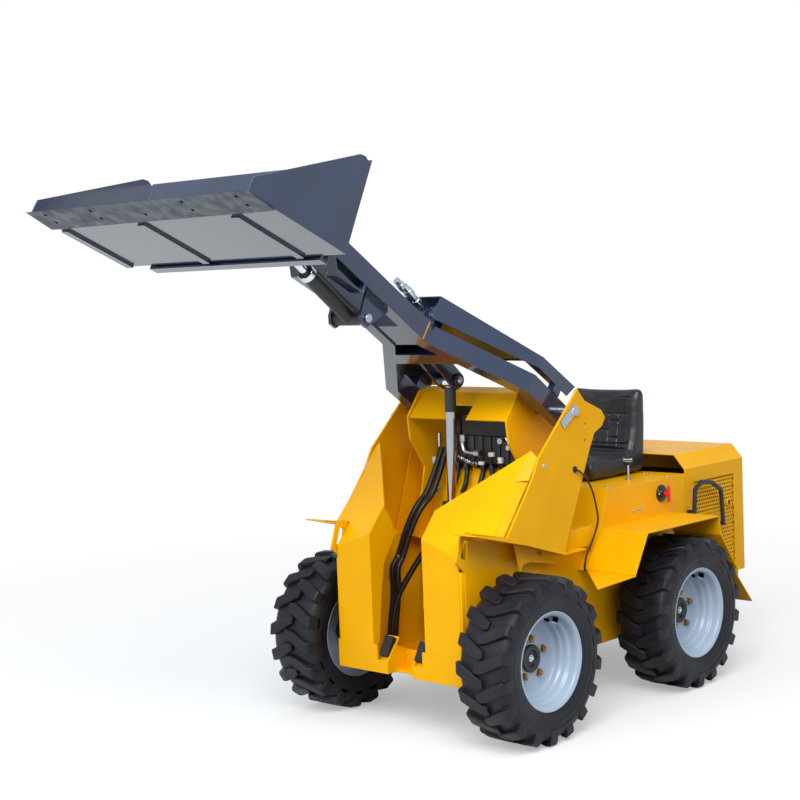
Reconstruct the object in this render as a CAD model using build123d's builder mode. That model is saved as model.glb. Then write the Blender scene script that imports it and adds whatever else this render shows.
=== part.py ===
from build123d import *
from math import atan2, cos, degrees, hypot, radians, sin, tan
import os

# Compact skid steer loader with an open seat, millimetres.
# +X points forward, +Y to the left, +Z up. Z = 0 is the ground under the tyres.
# Lengths along the machine are measured from the middle of the wheelbase.

os.makedirs("parts", exist_ok=True)

running_gap = 0.3

# Lower frame
frame_half_width = 300.0
frame_gauge = 8.0
floor_z = 200.0
frame_top_z = 600.0
front_face_x = 640.0
cheek_front_x = 618.0
front_strip_top_z = 300.0
recess_half_width = 58.0
recess_back_x = 532.0
recess_wall = 6.0
boom_low = -88.0
rail_width = 50.0
rail_height = 40.0
motor_case_radius = 62.0

# Wheels
wheelbase = 934.0
wheel_centre_y = frame_half_width + 152
tyre_radius = 290.0
tyre_width = 206.0
tyre_sides = 18
shoulder_radius = 272.0
shoulder_y = 88.0
sidewall_radius = 236.0
recess_radius = 214.0
lug_width = 39.5
lug_root = 258.0
rim_flange_radius = 171.0
rim_sides = 24
bead_seat_radius = 152.4
rim_well_radius = 134.0
rim_width = 184.0
rim_gauge = 4.0
dish_depth = 96.0
disc_gauge = 6.0
stud_circle_radius = 69.85
stud_count = 5
nut_radius = 11.0
nut_height = 14.0
hub_radius = 40.0
hub_cap_height = 12.0
hub_plate_gauge = 14.0
hub_bolt_radius = 9.0

# Knee guards either side of the open front bay
guard_gauge = 6.0
band_gauge = 5.0
guard_inner_y = 124.0
guard_outer_y = frame_half_width - 12
knee_outer_z = 645.0
knee_inner_z = 700.0

# Towers that carry the boom
tower_outer_y = frame_half_width + 104
tower_inner_y = frame_half_width - 68
tower_gauge = 8.0
flange_gauge = 5.0
tower_foot_x = 186.0
tower_foot_z = 605.0
tower_back_x = 60.0
gusset_y = frame_half_width + 43
spare_hole_x = 46.0
spare_hole_z = 1024.0
spare_hole_pitch = 58.0
spare_hole_radius = 7.0
cable_hole_x = 115.0
cable_hole_z = 899.0

# Seat deck, fenders and hood
deck_half_width = frame_half_width + 35
deck_front_x = -183.0
deck_rear_x = -718.0
deck_top_z = 784.0
deck_gauge = 4.0
well_half_width = 120.0
well_front_x = -360.0
well_rear_x = -700.0
well_floor_z = 770.0
fender_outer_y = deck_half_width + 217
flap_inner_y = fender_outer_y - 108
flap_outer_y = fender_outer_y - 14
fender_gauge = 4.0
hood_gap = 6.0
hood_half_width = deck_half_width - hood_gap
hood_front_x = -726.0
hood_rear_x = -1172.0
hood_side_z = 800.0
hood_top_z = 858.0
hood_top_half_width = hood_half_width - 49
hood_bottom_z = 330.0
hood_gauge = 4.0
hinge_radius = 10.0
hinge_pin_radius = 6.0
hinge_inner_y = 200.0
hinge_width = 40.0
rear_end_x = hood_rear_x + hood_gauge + running_gap
hood_hinge_x = hood_rear_x + hinge_radius
hood_hinge_z = hood_bottom_z - hinge_radius

# Seat
seat_width = 360.0
seat_cushion_length = 400.0
seat_back_x = -715.0
seat_bottom_z = 787.0
seat_top_z = 1132.0

# Boom, in its own side view: u runs forward along the arms, v upwards across them
boom_angle = 35.4
pivot_x = 106.0
pivot_z = 1108.0
arm_bottom_v = -40.0
arm_top_v = 32.0
arm_width = 50.0
arm_rear_inner_y = frame_half_width - 8
arm_front_inner_y = 58.0
arm_tail_u = -48.0
arm_spread_u = 180.0
arm_merge_u = 500.0
pivot_pin_radius = 17.5
pin_boss_radius = 36.0
channel_back_u = 380.0
channel_front_u = 440.0
web_gauge = 8.0
strap_gauge = 8.0
cover_gauge = 4.0

# Lift cylinder
lift_pin_u = 237.0
lift_pin_v = -20.0
lift_base_x = 339.0
lift_base_z = 330.0
lift_barrel_radius = 36.0
lift_bore_radius = 28.0
lift_barrel_length = 455.0
lift_rod_radius = 17.5
lift_ear_half_gap = 24.0
lift_ear_gauge = 12.0

# Bucket, its coupler and the tilt cylinder
coupler_u = 1130.0
coupler_v = 0.0
arm_front_u = coupler_u + pin_boss_radius
tilt_base_u = 792.0
tilt_base_v = -113.0
tilt_pin_u = coupler_u + 20
tilt_pin_v = -94.0
tilt_barrel_radius = 27.0
tilt_bore_radius = 21.0
tilt_barrel_length = 262.0
tilt_rod_radius = 14.0
tilt_ear_half_gap = 66.0
tilt_ear_gauge = 12.0
rod_ear_half_gap = 24.0
rod_ear_gauge = 12.0
pin_head_radius = 16.0
pin_head_height = 6.0
cheek_inner_y = 114.0
cheek_gauge = 10.0
bucket_heel_u = 1347.0
bucket_heel_v = -257.0
bucket_angle = 25.1
bucket_half_width = 512.0
bucket_floor_length = 424.0
bucket_back_height = 304.0
bucket_gauge = 5.0
bucket_side_gauge = 6.0
cross_plate_gauge = 14.0
cross_half_width = 440.0
lip_gauge = 10.0
lip_length = 110.0
lip_half_width = 524.0

# Stops under the lowered arms
stop_inner_y = recess_half_width + recess_wall + running_gap
stop_width = 40.0
stop_gauge = 22.0
stop_clearance = 3.5
bracket_gauge = 6.0

# Engine
engine_length = 330.0
engine_width = 380.0
engine_height = 400.0
engine_x = -960.0
engine_z = 546.0

# Hoses in the front bay and the cable on the left tower
hose_diameter = 22.0
cable_diameter = 7.0

axle_x = wheelbase / 2
cosine = cos(radians(boom_angle))
sine = sin(radians(boom_angle))


def boom_point(u, v):
    """Side-view place, from mid wheelbase, of a point of the boom as the photo shows it."""
    return pivot_x + u * cosine - v * sine, pivot_z + u * sine + v * cosine


def bucket_point(u, v):
    """Place of a point of the boom, as the photo shows it, behind and above the bucket's heel."""
    turn = radians(bucket_angle - boom_angle)
    ahead = u - bucket_heel_u
    above = v - bucket_heel_v
    return ahead * cos(turn) + above * sin(turn), above * cos(turn) - ahead * sin(turn)


hinge_back, hinge_up = bucket_point(coupler_u, coupler_v)
tilt_pin_back, tilt_pin_up = bucket_point(tilt_pin_u, tilt_pin_v)
heel_x, heel_z = boom_point(bucket_heel_u, bucket_heel_v)
lip_x = heel_x + bucket_floor_length * cos(radians(bucket_angle))

# The row's origin is under the middle of the whole machine, bucket included.
base_x = -(lip_x + hood_rear_x) / 2


def side(y, x=0.0, z=0.0, angle=0.0):
    """Upright plane across the machine: local x forward and local y up, turned by angle."""
    turn = radians(angle)
    return Plane(origin=(base_x + x, y, z), x_dir=(cos(turn), 0, sin(turn)), z_dir=(0, -1, 0))


def boom_side(y):
    """Side plane of the boom with its origin on the boom pivot."""
    return side(y, pivot_x, pivot_z, boom_angle)


def boom_plan(v):
    """Plane along the arms at height v: local x forward along the arms, local y to the left."""
    x, z = boom_point(0, v)
    return Plane(origin=(base_x + x, 0, z), x_dir=(cosine, 0, sine), z_dir=(-sine, 0, cosine))


def write(piece, name):
    """Label a finished piece and save it."""
    piece.part.label = name
    export_step(piece.part, "parts/" + name + ".step")

def arc_radii(places):
    """Radius of the arc at each inner point: 0.45 of its shorter run over the tangent of half its turn."""
    radii = []
    for before, here, after in zip(places, places[1:], places[2:]):
        into, out = here - before, after - here
        half_turn = radians(into.get_angle(out)) / 2
        radii.append(0.45 * min(into.length, out.length) / tan(half_turn))
    return radii


def write_cord(places, diameter, name):
    """Tube along the points with rounded corners, saved as a piece of its own; prints radii and length."""
    radii = arc_radii(places)
    with BuildPart() as tube:
        with BuildLine() as route:
            FilletPolyline(*places, radius=radii)
        with BuildSketch(Plane(origin=places[0], z_dir=places[1] - places[0])):
            RegularPolygon(diameter / 2, 10)
        sweep()
    length = sum(edge.length for edge in route.edges())
    print(name, "length", round(length, 1), "radii", [round(radius) for radius in radii])
    write(tube, name)


# Wheels: one row of the table for each corner
# columns: name, centre x, side (+1 left, -1 right)
corners = [
    ("front_left", axle_x, 1),
    ("front_right", axle_x, -1),
    ("rear_left", -axle_x, 1),
    ("rear_right", -axle_x, -1),
]


def ring(y):
    """Plane square to a wheel's axle at y, in the wheel's own frame, for a wheel on the left."""
    return Plane(origin=(0, y, 0), x_dir=(1, 0, 0), z_dir=(0, 1, 0))


def tread_plane(angle):
    """Plane over the tread at an angle round the axle: local x to the left, local y round the tyre."""
    turn = radians(angle)
    return Plane(
        origin=(lug_top * cos(turn), 0, lug_top * sin(turn)),
        x_dir=(0, 1, 0),
        z_dir=(cos(turn), 0, sin(turn)),
    )


# The lugs' flat tops reach the tyre's radius where two rows share the ground.
lug_pitch = 360 / tyre_sides
half_pitch = radians(lug_pitch / 2)
lug_top = (tyre_radius - lug_width * sin(half_pitch)) / cos(half_pitch)
bead_y = rim_width / 2 - rim_gauge - running_gap
half_tyre = tyre_width / 2

# columns: distance along the axle, radius
tyre_stations = [
    (-half_tyre, sidewall_radius),
    (-shoulder_y, shoulder_radius),
    (shoulder_y, shoulder_radius),
    (half_tyre, sidewall_radius),
]

# Outline of one lug. columns: distance outwards along the axle, distance round the tyre
lug_outline = [
    (-26, -lug_width),
    (11, -lug_width),
    (half_tyre, 4.5),
    (half_tyre, lug_width),
    (11, -4.5),
    (-26, -4.5),
]

with BuildPart() as tyre_master:
    for station_y, station_r in tyre_stations:
        with BuildSketch(ring(station_y)):
            RegularPolygon(station_r, tyre_sides)
    loft(ruled=True)
    # columns: side, turn of the side's first lug
    for hand, first in ((1, -90), (-1, -90 + lug_pitch / 2)):
        for step in range(tyre_sides):
            with BuildSketch(tread_plane(first + step * lug_pitch)):
                with BuildLine():
                    Polyline(*[(hand * outwards, around) for outwards, around in lug_outline], close=True)
                make_face()
    extrude(amount=lug_root - lug_top)
    for hand in (1, -1):
        for station_y, station_r in ((bead_y, rim_flange_radius + 6), (half_tyre, recess_radius)):
            with BuildSketch(ring(hand * station_y)):
                RegularPolygon(station_r, tyre_sides)
        loft(ruled=True, mode=Mode.SUBTRACT)
    with BuildSketch(ring(-half_tyre)):
        RegularPolygon(bead_seat_radius + rim_gauge + 2 * running_gap, rim_sides)
    extrude(amount=tyre_width, mode=Mode.SUBTRACT)

flange_y = rim_width / 2
disc_y = flange_y - dish_depth
hub_face_y = disc_y - disc_gauge
outer_r = bead_seat_radius + rim_gauge

# columns: distance outboard along the axle, radius
rim_outside = [
    (-flange_y, outer_r),
    (-40, outer_r),
    (-30, rim_well_radius + rim_gauge),
    (20, rim_well_radius + rim_gauge),
    (30, outer_r),
    (flange_y, outer_r),
]
rim_inboard = [
    (-flange_y, bead_seat_radius),
    (-43, bead_seat_radius),
    (-33, rim_well_radius),
    (hub_face_y, rim_well_radius),
]
rim_outboard = [
    (disc_y, rim_well_radius),
    (23, rim_well_radius),
    (33, bead_seat_radius),
    (flange_y, bead_seat_radius),
]

with BuildPart() as rim_master:
    for station_y, station_r in rim_outside:
        with BuildSketch(ring(station_y)):
            RegularPolygon(station_r, rim_sides)
    loft(ruled=True)
    for start_y in (-flange_y, flange_y - rim_gauge):
        with BuildSketch(ring(start_y)):
            RegularPolygon(rim_flange_radius, rim_sides)
        extrude(amount=rim_gauge)
    for stations in (rim_inboard, rim_outboard):
        for station_y, station_r in stations:
            with BuildSketch(ring(station_y)):
                RegularPolygon(station_r, rim_sides)
        loft(ruled=True, mode=Mode.SUBTRACT)
    with BuildSketch(ring(disc_y)):
        with PolarLocations(stud_circle_radius, stud_count, start_angle=-90):
            RegularPolygon(nut_radius, 6)
    extrude(amount=nut_height)
    with BuildSketch(ring(hub_face_y - hub_plate_gauge)):
        RegularPolygon(stud_circle_radius + nut_radius, rim_sides)
    extrude(amount=hub_plate_gauge)
    with BuildSketch(ring(hub_face_y)):
        RegularPolygon(hub_radius, rim_sides)
    extrude(amount=disc_gauge + hub_cap_height)
    with BuildSketch(ring(disc_y + hub_cap_height)):
        Circle(hub_bolt_radius)
    extrude(amount=nut_height / 2)

# The wheel motor's case reaches from the hub to the frame's side.
motor_outer_y = hub_face_y - hub_plate_gauge - running_gap
motor_length = wheel_centre_y + motor_outer_y - frame_half_width - running_gap

for corner, centre_x, hand in corners:
    centre = (base_x + centre_x, hand * wheel_centre_y, tyre_radius)
    with BuildPart() as tyre:
        with Locations(centre):
            add(tyre_master.part)
    write(tyre, "tyre_" + corner)

    with BuildPart() as rim:
        with Locations(Location(centre, (0, 0, 90 - 90 * hand))):
            add(rim_master.part)
    write(rim, "rim_" + corner)

    with BuildPart() as motor:
        with BuildSketch(Plane(centre, x_dir=(1, 0, 0), z_dir=(0, hand, 0)).offset(motor_outer_y)):
            RegularPolygon(motor_case_radius, 8)
        extrude(amount=-motor_length)
    write(motor, "wheel_motor_" + corner)


# Lower frame: a welded tub of side plates, floor, front strip and cross plates
# columns: x, z of the side plate with the tie-down tab at its front
side_plate = [
    (front_face_x - frame_gauge, floor_z),
    (front_face_x - frame_gauge, front_strip_top_z),
    (cheek_front_x, front_strip_top_z),
    (cheek_front_x, 595),
    (664.5, 637),
    (649, 680),
    (633, 726),
    (602, 736),
    (575, 722),
    (556, 700),
    (406, 672),
    (tower_foot_x, frame_top_z),
    (rear_end_x, frame_top_z),
    (rear_end_x, floor_z + 60),
    (-axle_x - 160, floor_z),
]
tab_slot = [(638, 650), (617, 709), (598, 702), (606, 636)]
rear_floor_x = -axle_x - 160
low_turn = boom_angle + boom_low

# Hook straps under the arms' front ends, in the boom's side view; the stops lie along their longest run.
# columns: u, v of the outer face
strap_line = [(1062, arm_bottom_v + 2), (1015, -90), (887, -74), (879, arm_bottom_v + 2)]
strap_rise = (strap_line[2][1] - strap_line[1][1]) / (strap_line[2][0] - strap_line[1][0])


def stop_line(u, depth):
    """Point at u on a line at a depth under the straps' longest run, in the boom's side view."""
    return u, strap_line[1][1] + strap_rise * (u - strap_line[1][0]) - depth


stop_back_u = 918.0
stop_front_u = 990.0
stop_under = stop_clearance + stop_gauge

with BuildPart() as frame:
    for hand in (1, -1):
        with BuildSketch(side(hand * frame_half_width)):
            with BuildLine():
                Polyline(*side_plate, close=True)
            make_face()
            with BuildLine():
                Polyline(*tab_slot, close=True)
            make_face(mode=Mode.SUBTRACT)
        extrude(amount=hand * frame_gauge)
    with BuildSketch(Plane.XY.offset(floor_z)):
        with Locations((base_x + (front_face_x + rear_floor_x) / 2, 0)):
            Rectangle(front_face_x - rear_floor_x, 2 * frame_half_width)
    extrude(amount=frame_gauge)
    with BuildSketch(side(0)):
        with Locations((front_face_x - frame_gauge / 2, (floor_z + front_strip_top_z) / 2)):
            Rectangle(frame_gauge, front_strip_top_z - floor_z)
    extrude(amount=frame_half_width, both=True)
    with BuildSketch(side(0)):
        with Locations((rear_end_x + frame_gauge / 2, (floor_z + 60 + frame_top_z) / 2)):
            Rectangle(frame_gauge, frame_top_z - floor_z - 60)
    extrude(amount=frame_half_width, both=True)
    with BuildSketch(Plane.XY.offset(floor_z - 1)):
        with Locations((base_x + front_face_x - 20, 0)):
            Rectangle(44, 2 * recess_half_width)
    extrude(amount=front_strip_top_z - floor_z + 2, mode=Mode.SUBTRACT)
    for hand in (1, -1):
        with BuildSketch(Plane.XY.offset(246)):
            with Locations((base_x + front_face_x - 6, hand * (recess_half_width + 25))):
                Rectangle(14, 50)
        extrude(amount=front_strip_top_z - 245, mode=Mode.SUBTRACT)
        with BuildSketch(side(hand * recess_half_width)):
            with BuildLine():
                Polyline(
                    (recess_back_x, floor_z + 1),
                    (front_face_x - 1, floor_z + 1),
                    (front_face_x - 1, 246),
                    (595, front_strip_top_z),
                    (recess_back_x, front_strip_top_z - 28),
                    close=True,
                )
            make_face()
        extrude(amount=-hand * recess_wall)
        with BuildSketch(side(hand * recess_half_width, pivot_x, pivot_z, low_turn)):
            with BuildLine():
                Polyline(
                    stop_line(stop_back_u - 10, stop_under + running_gap),
                    stop_line(1022, stop_under + running_gap),
                    stop_line(1022, stop_under + bracket_gauge),
                    stop_line(stop_back_u - 10, stop_under + bracket_gauge),
                    close=True,
                )
            make_face()
        extrude(amount=-hand * 50)
    with BuildSketch(side(0)):
        with Locations((recess_back_x + recess_wall / 2, (floor_z + front_strip_top_z - 28) / 2)):
            Rectangle(recess_wall, front_strip_top_z - 28 - floor_z)
    extrude(amount=recess_half_width + 1, both=True)
    with BuildSketch(Plane(origin=(base_x + rear_end_x, 0, hood_hinge_z), x_dir=(0, 1, 0), z_dir=(1, 0, 0))):
        for hand in (1, -1):
            with Locations((hand * (hinge_inner_y + hinge_width / 2), 0)):
                Rectangle(hinge_width + 2 * running_gap, 2 * hinge_radius + 10)
    extrude(amount=frame_gauge, mode=Mode.SUBTRACT)
    for hand in (1, -1):
        with BuildSketch(side(hand * (hinge_inner_y + hinge_width + 10), hood_hinge_x, hood_hinge_z)):
            Circle(hinge_pin_radius)
        extrude(amount=hand * (hinge_width + 20))
    for rail_x in (engine_x - 120, engine_x + 120):
        with BuildSketch(side(0)):
            with Locations((rail_x, engine_z - (engine_height + rail_height) / 2 - running_gap)):
                Rectangle(rail_width, rail_height)
        extrude(amount=frame_half_width - 1, both=True)
write(frame, "lower_frame")


def plate(corners, hand):
    """Flat face through corners (x, y, z) given for the left side, or its mirror image on the right."""
    places = [Vector(base_x + x, hand * y, z) for x, y, z in map(tuple, corners)]
    along = places[1] - places[0]
    plane = Plane(origin=places[0], x_dir=along, z_dir=along.cross(places[-1] - places[0]))
    local = [plane.to_local_coords(place) for place in places]
    flat = [plane.from_local_coords((point.X, point.Y, 0)) for point in local]
    return Face(Wire.make_polygon(flat))


# Guards: a front face, an inner cheek, a sloping face and two bevelled bands up to the tower
# columns: x, y, z of the corners on the left side
slope_corners = [
    (front_face_x, guard_outer_y, knee_outer_z),
    (570, guard_outer_y, 723),
    (549, guard_outer_y + 88, 719),
    (407, guard_outer_y + 72, 887),
    (317, guard_outer_y + 76, 989),
    (561, guard_inner_y, 793),
    (front_face_x, guard_inner_y, knee_inner_z),
]
band_y = tower_outer_y - tower_gauge - running_gap
# The bands start just under the slope's face, and the lower one runs on under the upper one
band_tuck = Vector(1.5, 1.8, 1.3)
band_feet = [Vector(522.3, band_y, 712), Vector(371.3, band_y, 889.4), Vector(320.2, band_y, 969.2)]
band_heads = [Vector(corner) - band_tuck for corner in slope_corners[2:5]]
band_lap = (band_heads[2] - band_heads[1]).normalized() * 4 - Vector(0.3, 0.35, 0.2)
lower_band = [band_heads[0], band_heads[1] + band_lap, band_feet[1] + band_lap, band_feet[0]]
upper_band = [band_heads[1], band_heads[2], band_feet[2], band_feet[1]]

# columns: x, z of the inner cheek
cheek_corners = [
    (front_face_x, front_strip_top_z),
    (front_face_x, knee_inner_z),
    (561, 793),
    (555, 788),
    (496, 688),
    (567, 586),
    (584, 500),
    (608, front_strip_top_z),
]

for name, hand in (("left", 1), ("right", -1)):
    with BuildPart() as guard:
        with BuildSketch(Plane(origin=(base_x + front_face_x, 0, 0), x_dir=(0, 1, 0), z_dir=(1, 0, 0))):
            with BuildLine():
                Polyline(
                    (hand * guard_inner_y, front_strip_top_z),
                    (hand * guard_outer_y, front_strip_top_z),
                    (hand * guard_outer_y, knee_outer_z),
                    (hand * guard_inner_y, knee_inner_z),
                    close=True,
                )
            make_face()
        extrude(amount=-guard_gauge)
        with BuildSketch(side(hand * guard_inner_y)):
            with BuildLine():
                Polyline(*cheek_corners, close=True)
            make_face()
        extrude(amount=-hand * guard_gauge)
        extrude(plate(slope_corners, hand), amount=guard_gauge, dir=(-0.736, -hand * 0.218, -0.64))
        for band in (lower_band, upper_band):
            extrude(plate(band, hand), amount=band_gauge, dir=(-0.6, -hand * 0.7, -0.39))
    write(guard, "guard_" + name)


# Towers: an outer plate, an inner plate, the flanges along their lower edges and a gusset
# columns: x, z of the outer plate
outer_plate = [
    (681, 741),
    (406, 672),
    (tower_foot_x, tower_foot_z),
    (tower_foot_x - 10, tower_foot_z + 35),
    (20, 964),
    (-12, 1019),
    (-60, 1040),
    (-81, 1069),
    (-58, 1099),
    (44, 1141),
    (84, 1185),
    (321, 964),
    (363, 890),
    (511, 709),
]
# columns: x, z of the inner plate, below its outline's shared top
inner_plate = [(300, 638), (tower_foot_x, frame_top_z + 1), (tower_back_x, frame_top_z + 1)]
inner_lip = [(300, 638), (tower_foot_x, frame_top_z), (tower_back_x, frame_top_z)]
inner_front = [(150, 1191), (216, 1181), (291, 1086), (280, 1000), (205, 890), (225, 800)]
lip_line = [(681, 741), (406, 672), (tower_foot_x, tower_foot_z), (tower_back_x, tower_foot_z)]
gusset = [
    (400, 669),
    (371, 560),
    (351, 586),
    (313, 589),
    (168, 560),
    (103, 565),
    (97, 585),
    (97, tower_foot_z - 1),
    (tower_foot_x, tower_foot_z - 1),
]
for name, hand in (("left", 1), ("right", -1)):
    with BuildPart() as tower:
        with BuildSketch(side(hand * tower_outer_y)):
            with BuildLine():
                Polyline(*outer_plate, close=True)
            make_face()
            with Locations((pivot_x, pivot_z)):
                Circle(pivot_pin_radius + running_gap, mode=Mode.SUBTRACT)
            with Locations((spare_hole_x, spare_hole_z)):
                with GridLocations(0, spare_hole_pitch, 1, 2):
                    Circle(spare_hole_radius, mode=Mode.SUBTRACT)
        extrude(amount=hand * tower_gauge)
        with BuildSketch(side(hand * (tower_inner_y + tower_gauge))):
            with BuildLine():
                Polyline(*inner_plate, *outer_plate[4:11], *inner_front, close=True)
            make_face()
            with Locations((pivot_x, pivot_z)):
                Circle(pivot_pin_radius + running_gap, mode=Mode.SUBTRACT)
        extrude(amount=hand * tower_gauge)
        with BuildSketch(side(hand * tower_outer_y)):
            with BuildLine():
                Polyline(*lip_line)
                offset(amount=flange_gauge, side=Side.LEFT, kind=Kind.INTERSECTION)
            make_face()
        extrude(amount=hand * (tower_outer_y - frame_half_width))
        with BuildSketch(side(hand * frame_half_width)):
            with BuildLine():
                Polyline(*inner_lip)
                offset(amount=flange_gauge, side=Side.RIGHT, kind=Kind.INTERSECTION)
            make_face()
        extrude(amount=hand * (frame_half_width - tower_inner_y))
        with BuildSketch(side(hand * gusset_y)):
            with BuildLine():
                Polyline(*gusset, close=True)
            make_face()
        extrude(amount=hand * flange_gauge)
    write(tower, "tower_" + name)


# Boom arms: rear tubes, diagonal tubes and front tubes, cross channels, ears and hook straps
spread_run = arm_merge_u - arm_spread_u
spread_turn = degrees(atan2(arm_rear_inner_y - arm_front_inner_y, spread_run))
spread_middle_u = (arm_spread_u + arm_merge_u + 15) / 2
arm_front_outer_y = arm_front_inner_y + arm_width
arm_rear_outer_y = arm_rear_inner_y + arm_width
with BuildPart() as arms:
    for hand in (1, -1):
        with BuildSketch(boom_plan(arm_bottom_v)):
            with BuildLine():
                Polyline(
                    (arm_tail_u, hand * arm_rear_inner_y),
                    (arm_spread_u, hand * arm_rear_inner_y),
                    (arm_merge_u, hand * arm_front_inner_y),
                    (arm_front_u, hand * arm_front_inner_y),
                    (arm_front_u, hand * arm_front_outer_y),
                    (arm_merge_u + 15, hand * arm_front_outer_y),
                    (arm_spread_u + 15, hand * arm_rear_outer_y),
                    (arm_tail_u, hand * arm_rear_outer_y),
                    close=True,
                )
            make_face()
        extrude(amount=arm_top_v - arm_bottom_v)
    with BuildSketch(boom_side(0)):
        with BuildLine():
            Polyline(
                (channel_front_u, arm_top_v),
                (channel_back_u, arm_top_v),
                (channel_back_u, arm_bottom_v),
                (channel_front_u, arm_bottom_v),
                (channel_front_u, arm_bottom_v + web_gauge),
                (channel_back_u + web_gauge, arm_bottom_v + web_gauge),
                (channel_back_u + web_gauge, arm_top_v - web_gauge),
                (channel_front_u, arm_top_v - web_gauge),
                close=True,
            )
        make_face()
    extrude(amount=150, both=True)
    with BuildSketch(boom_side(0)):
        with Locations((560, (arm_top_v + arm_bottom_v) / 2)):
            Rectangle(120, 60)
    extrude(amount=arm_front_inner_y + 2, both=True)
    with BuildSketch(boom_side(0)):
        Circle(pivot_pin_radius + running_gap)
    extrude(amount=arm_rear_outer_y + 10, both=True, mode=Mode.SUBTRACT)
    with BuildSketch(boom_side(0)):
        with Locations((coupler_u, coupler_v)):
            Circle(pivot_pin_radius + running_gap)
    extrude(amount=arm_front_outer_y + 10, both=True, mode=Mode.SUBTRACT)
    for hand in (1, -1):
        with BuildSketch(boom_side(hand * (lift_ear_half_gap + lift_ear_gauge))):
            with BuildLine():
                Polyline(
                    (channel_back_u + 4, arm_bottom_v + 4),
                    (lift_pin_u + 10, lift_pin_v - 34),
                    (lift_pin_u - 20, lift_pin_v - 30),
                    (lift_pin_u - 34, lift_pin_v),
                    (lift_pin_u - 20, lift_pin_v + 30),
                    (channel_back_u + 4, arm_top_v - 6),
                    close=True,
                )
            make_face()
        extrude(amount=hand * lift_ear_gauge)
        with BuildSketch(boom_side(hand * (lift_ear_half_gap + lift_ear_gauge + pin_head_height))):
            with Locations((lift_pin_u, lift_pin_v)):
                RegularPolygon(pin_head_radius, 12)
        extrude(amount=hand * (pin_head_height + 1))
        with BuildSketch(boom_side(hand * (tilt_ear_half_gap + tilt_ear_gauge))):
            with BuildLine():
                Polyline(
                    (tilt_base_u + 50, arm_bottom_v + 2),
                    (tilt_base_u + 32, tilt_base_v - 7),
                    (tilt_base_u + 14, tilt_base_v - 30),
                    (tilt_base_u - 14, tilt_base_v - 30),
                    (tilt_base_u - 76, arm_bottom_v + 2),
                    close=True,
                )
            make_face()
        extrude(amount=hand * tilt_ear_gauge)
        with BuildSketch(boom_side(hand * (tilt_ear_half_gap + tilt_ear_gauge + pin_head_height))):
            with Locations((tilt_base_u, tilt_base_v)):
                RegularPolygon(pin_head_radius, 12)
        extrude(amount=hand * (pin_head_height + 1))
        with BuildSketch(boom_side(hand * arm_front_outer_y)):
            with BuildLine():
                Polyline(*strap_line)
                offset(amount=strap_gauge, side=Side.RIGHT, kind=Kind.INTERSECTION)
            make_face()
        extrude(amount=hand * arm_width)
write(arms, "boom_arms")

# Pivot pins, each held by a keeper plate on the tower's outer face
keeper_gauge = 6.0
with BuildPart() as pivot_pins:
    for hand in (1, -1):
        with BuildSketch(side(hand * (tower_outer_y + 8), pivot_x, pivot_z)):
            Circle(pivot_pin_radius)
        extrude(amount=hand * (tower_outer_y + 8 - tower_inner_y + 6))
        with BuildSketch(side(hand * (tower_outer_y + keeper_gauge), pivot_x + 39, pivot_z - 15, -34.4)):
            Rectangle(100, 34)
        extrude(amount=hand * (keeper_gauge - running_gap))
write(pivot_pins, "boom_pivot_pins")


# Cover over the hoses on the arms: two folded sides and a top, on four feet
def on_boom(u, y, v):
    """Corner of a plate on the boom: u along the arms, y across, v above them."""
    x, z = boom_point(u, v)
    return x, y, z


cover_front_y = arm_front_outer_y + 4
cover_rear_y = arm_rear_outer_y + 4
cover_side = [
    on_boom(548, cover_front_y, 46),
    on_boom(548, cover_front_y, 137),
    on_boom(191, cover_rear_y, 107),
    on_boom(191, cover_rear_y, 63),
]
cover_top = [
    on_boom(548, cover_front_y, 137),
    on_boom(191, cover_rear_y, 107),
    on_boom(191, -cover_rear_y, 107),
    on_boom(548, -cover_front_y, 137),
]
# columns: u, y, height of the feet on the arms
cover_feet = [(500, arm_front_outer_y - 20, 97), (60, arm_rear_outer_y - 12, 60)]
# The rear sheet is notched so that the visor and the towers' inner plates pass when the boom is low
notch_y = tower_inner_y + 16
notch_front_u = 172
notch_front_v = 107 + 8 * (191 - notch_front_u) / 216
cover_rear = [
    on_boom(191, cover_rear_y, 107),
    on_boom(-25, cover_rear_y, 115),
    on_boom(-25, notch_y, 115),
    on_boom(notch_front_u, notch_y, notch_front_v),
    on_boom(notch_front_u, -notch_y, notch_front_v),
    on_boom(-25, -notch_y, 115),
    on_boom(-25, -cover_rear_y, 115),
    on_boom(191, -cover_rear_y, 107),
]
with BuildPart() as hose_guard:
    for hand in (1, -1):
        across = (-0.548 * cosine, -hand * 0.836, -0.548 * sine)
        extrude(plate(cover_side, hand), amount=cover_gauge, dir=across)
        with BuildSketch(boom_side(hand * cover_rear_y)):
            with BuildLine():
                Polyline((191, 63), (191, 107), (-25, 115), (0, 62), close=True)
            make_face()
        extrude(amount=hand * cover_gauge)
        for foot_u, foot_y, foot_height in cover_feet:
            with BuildSketch(boom_plan(arm_top_v + running_gap)):
                with Locations((foot_u, hand * foot_y)):
                    Rectangle(40, 30)
            extrude(amount=foot_height)
    for sheet in (cover_top, cover_rear):
        extrude(plate(sheet, 1), amount=cover_gauge, dir=(sine, 0, -cosine))
write(hose_guard, "hose_guard")


# Lift cylinder
lift_eye_x, lift_eye_z = boom_point(lift_pin_u, lift_pin_v)
lift_angle = degrees(atan2(lift_eye_z - lift_base_z, lift_eye_x - lift_base_x))
lift_length = hypot(lift_eye_x - lift_base_x, lift_eye_z - lift_base_z)


def lift_across(distance):
    """Plane square to the lift cylinder at a distance from its base pin."""
    turn = radians(lift_angle)
    origin = (base_x + lift_base_x + distance * cos(turn), 0, lift_base_z + distance * sin(turn))
    return Plane(origin=origin, x_dir=(0, 1, 0), z_dir=(cos(turn), 0, sin(turn)))


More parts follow.
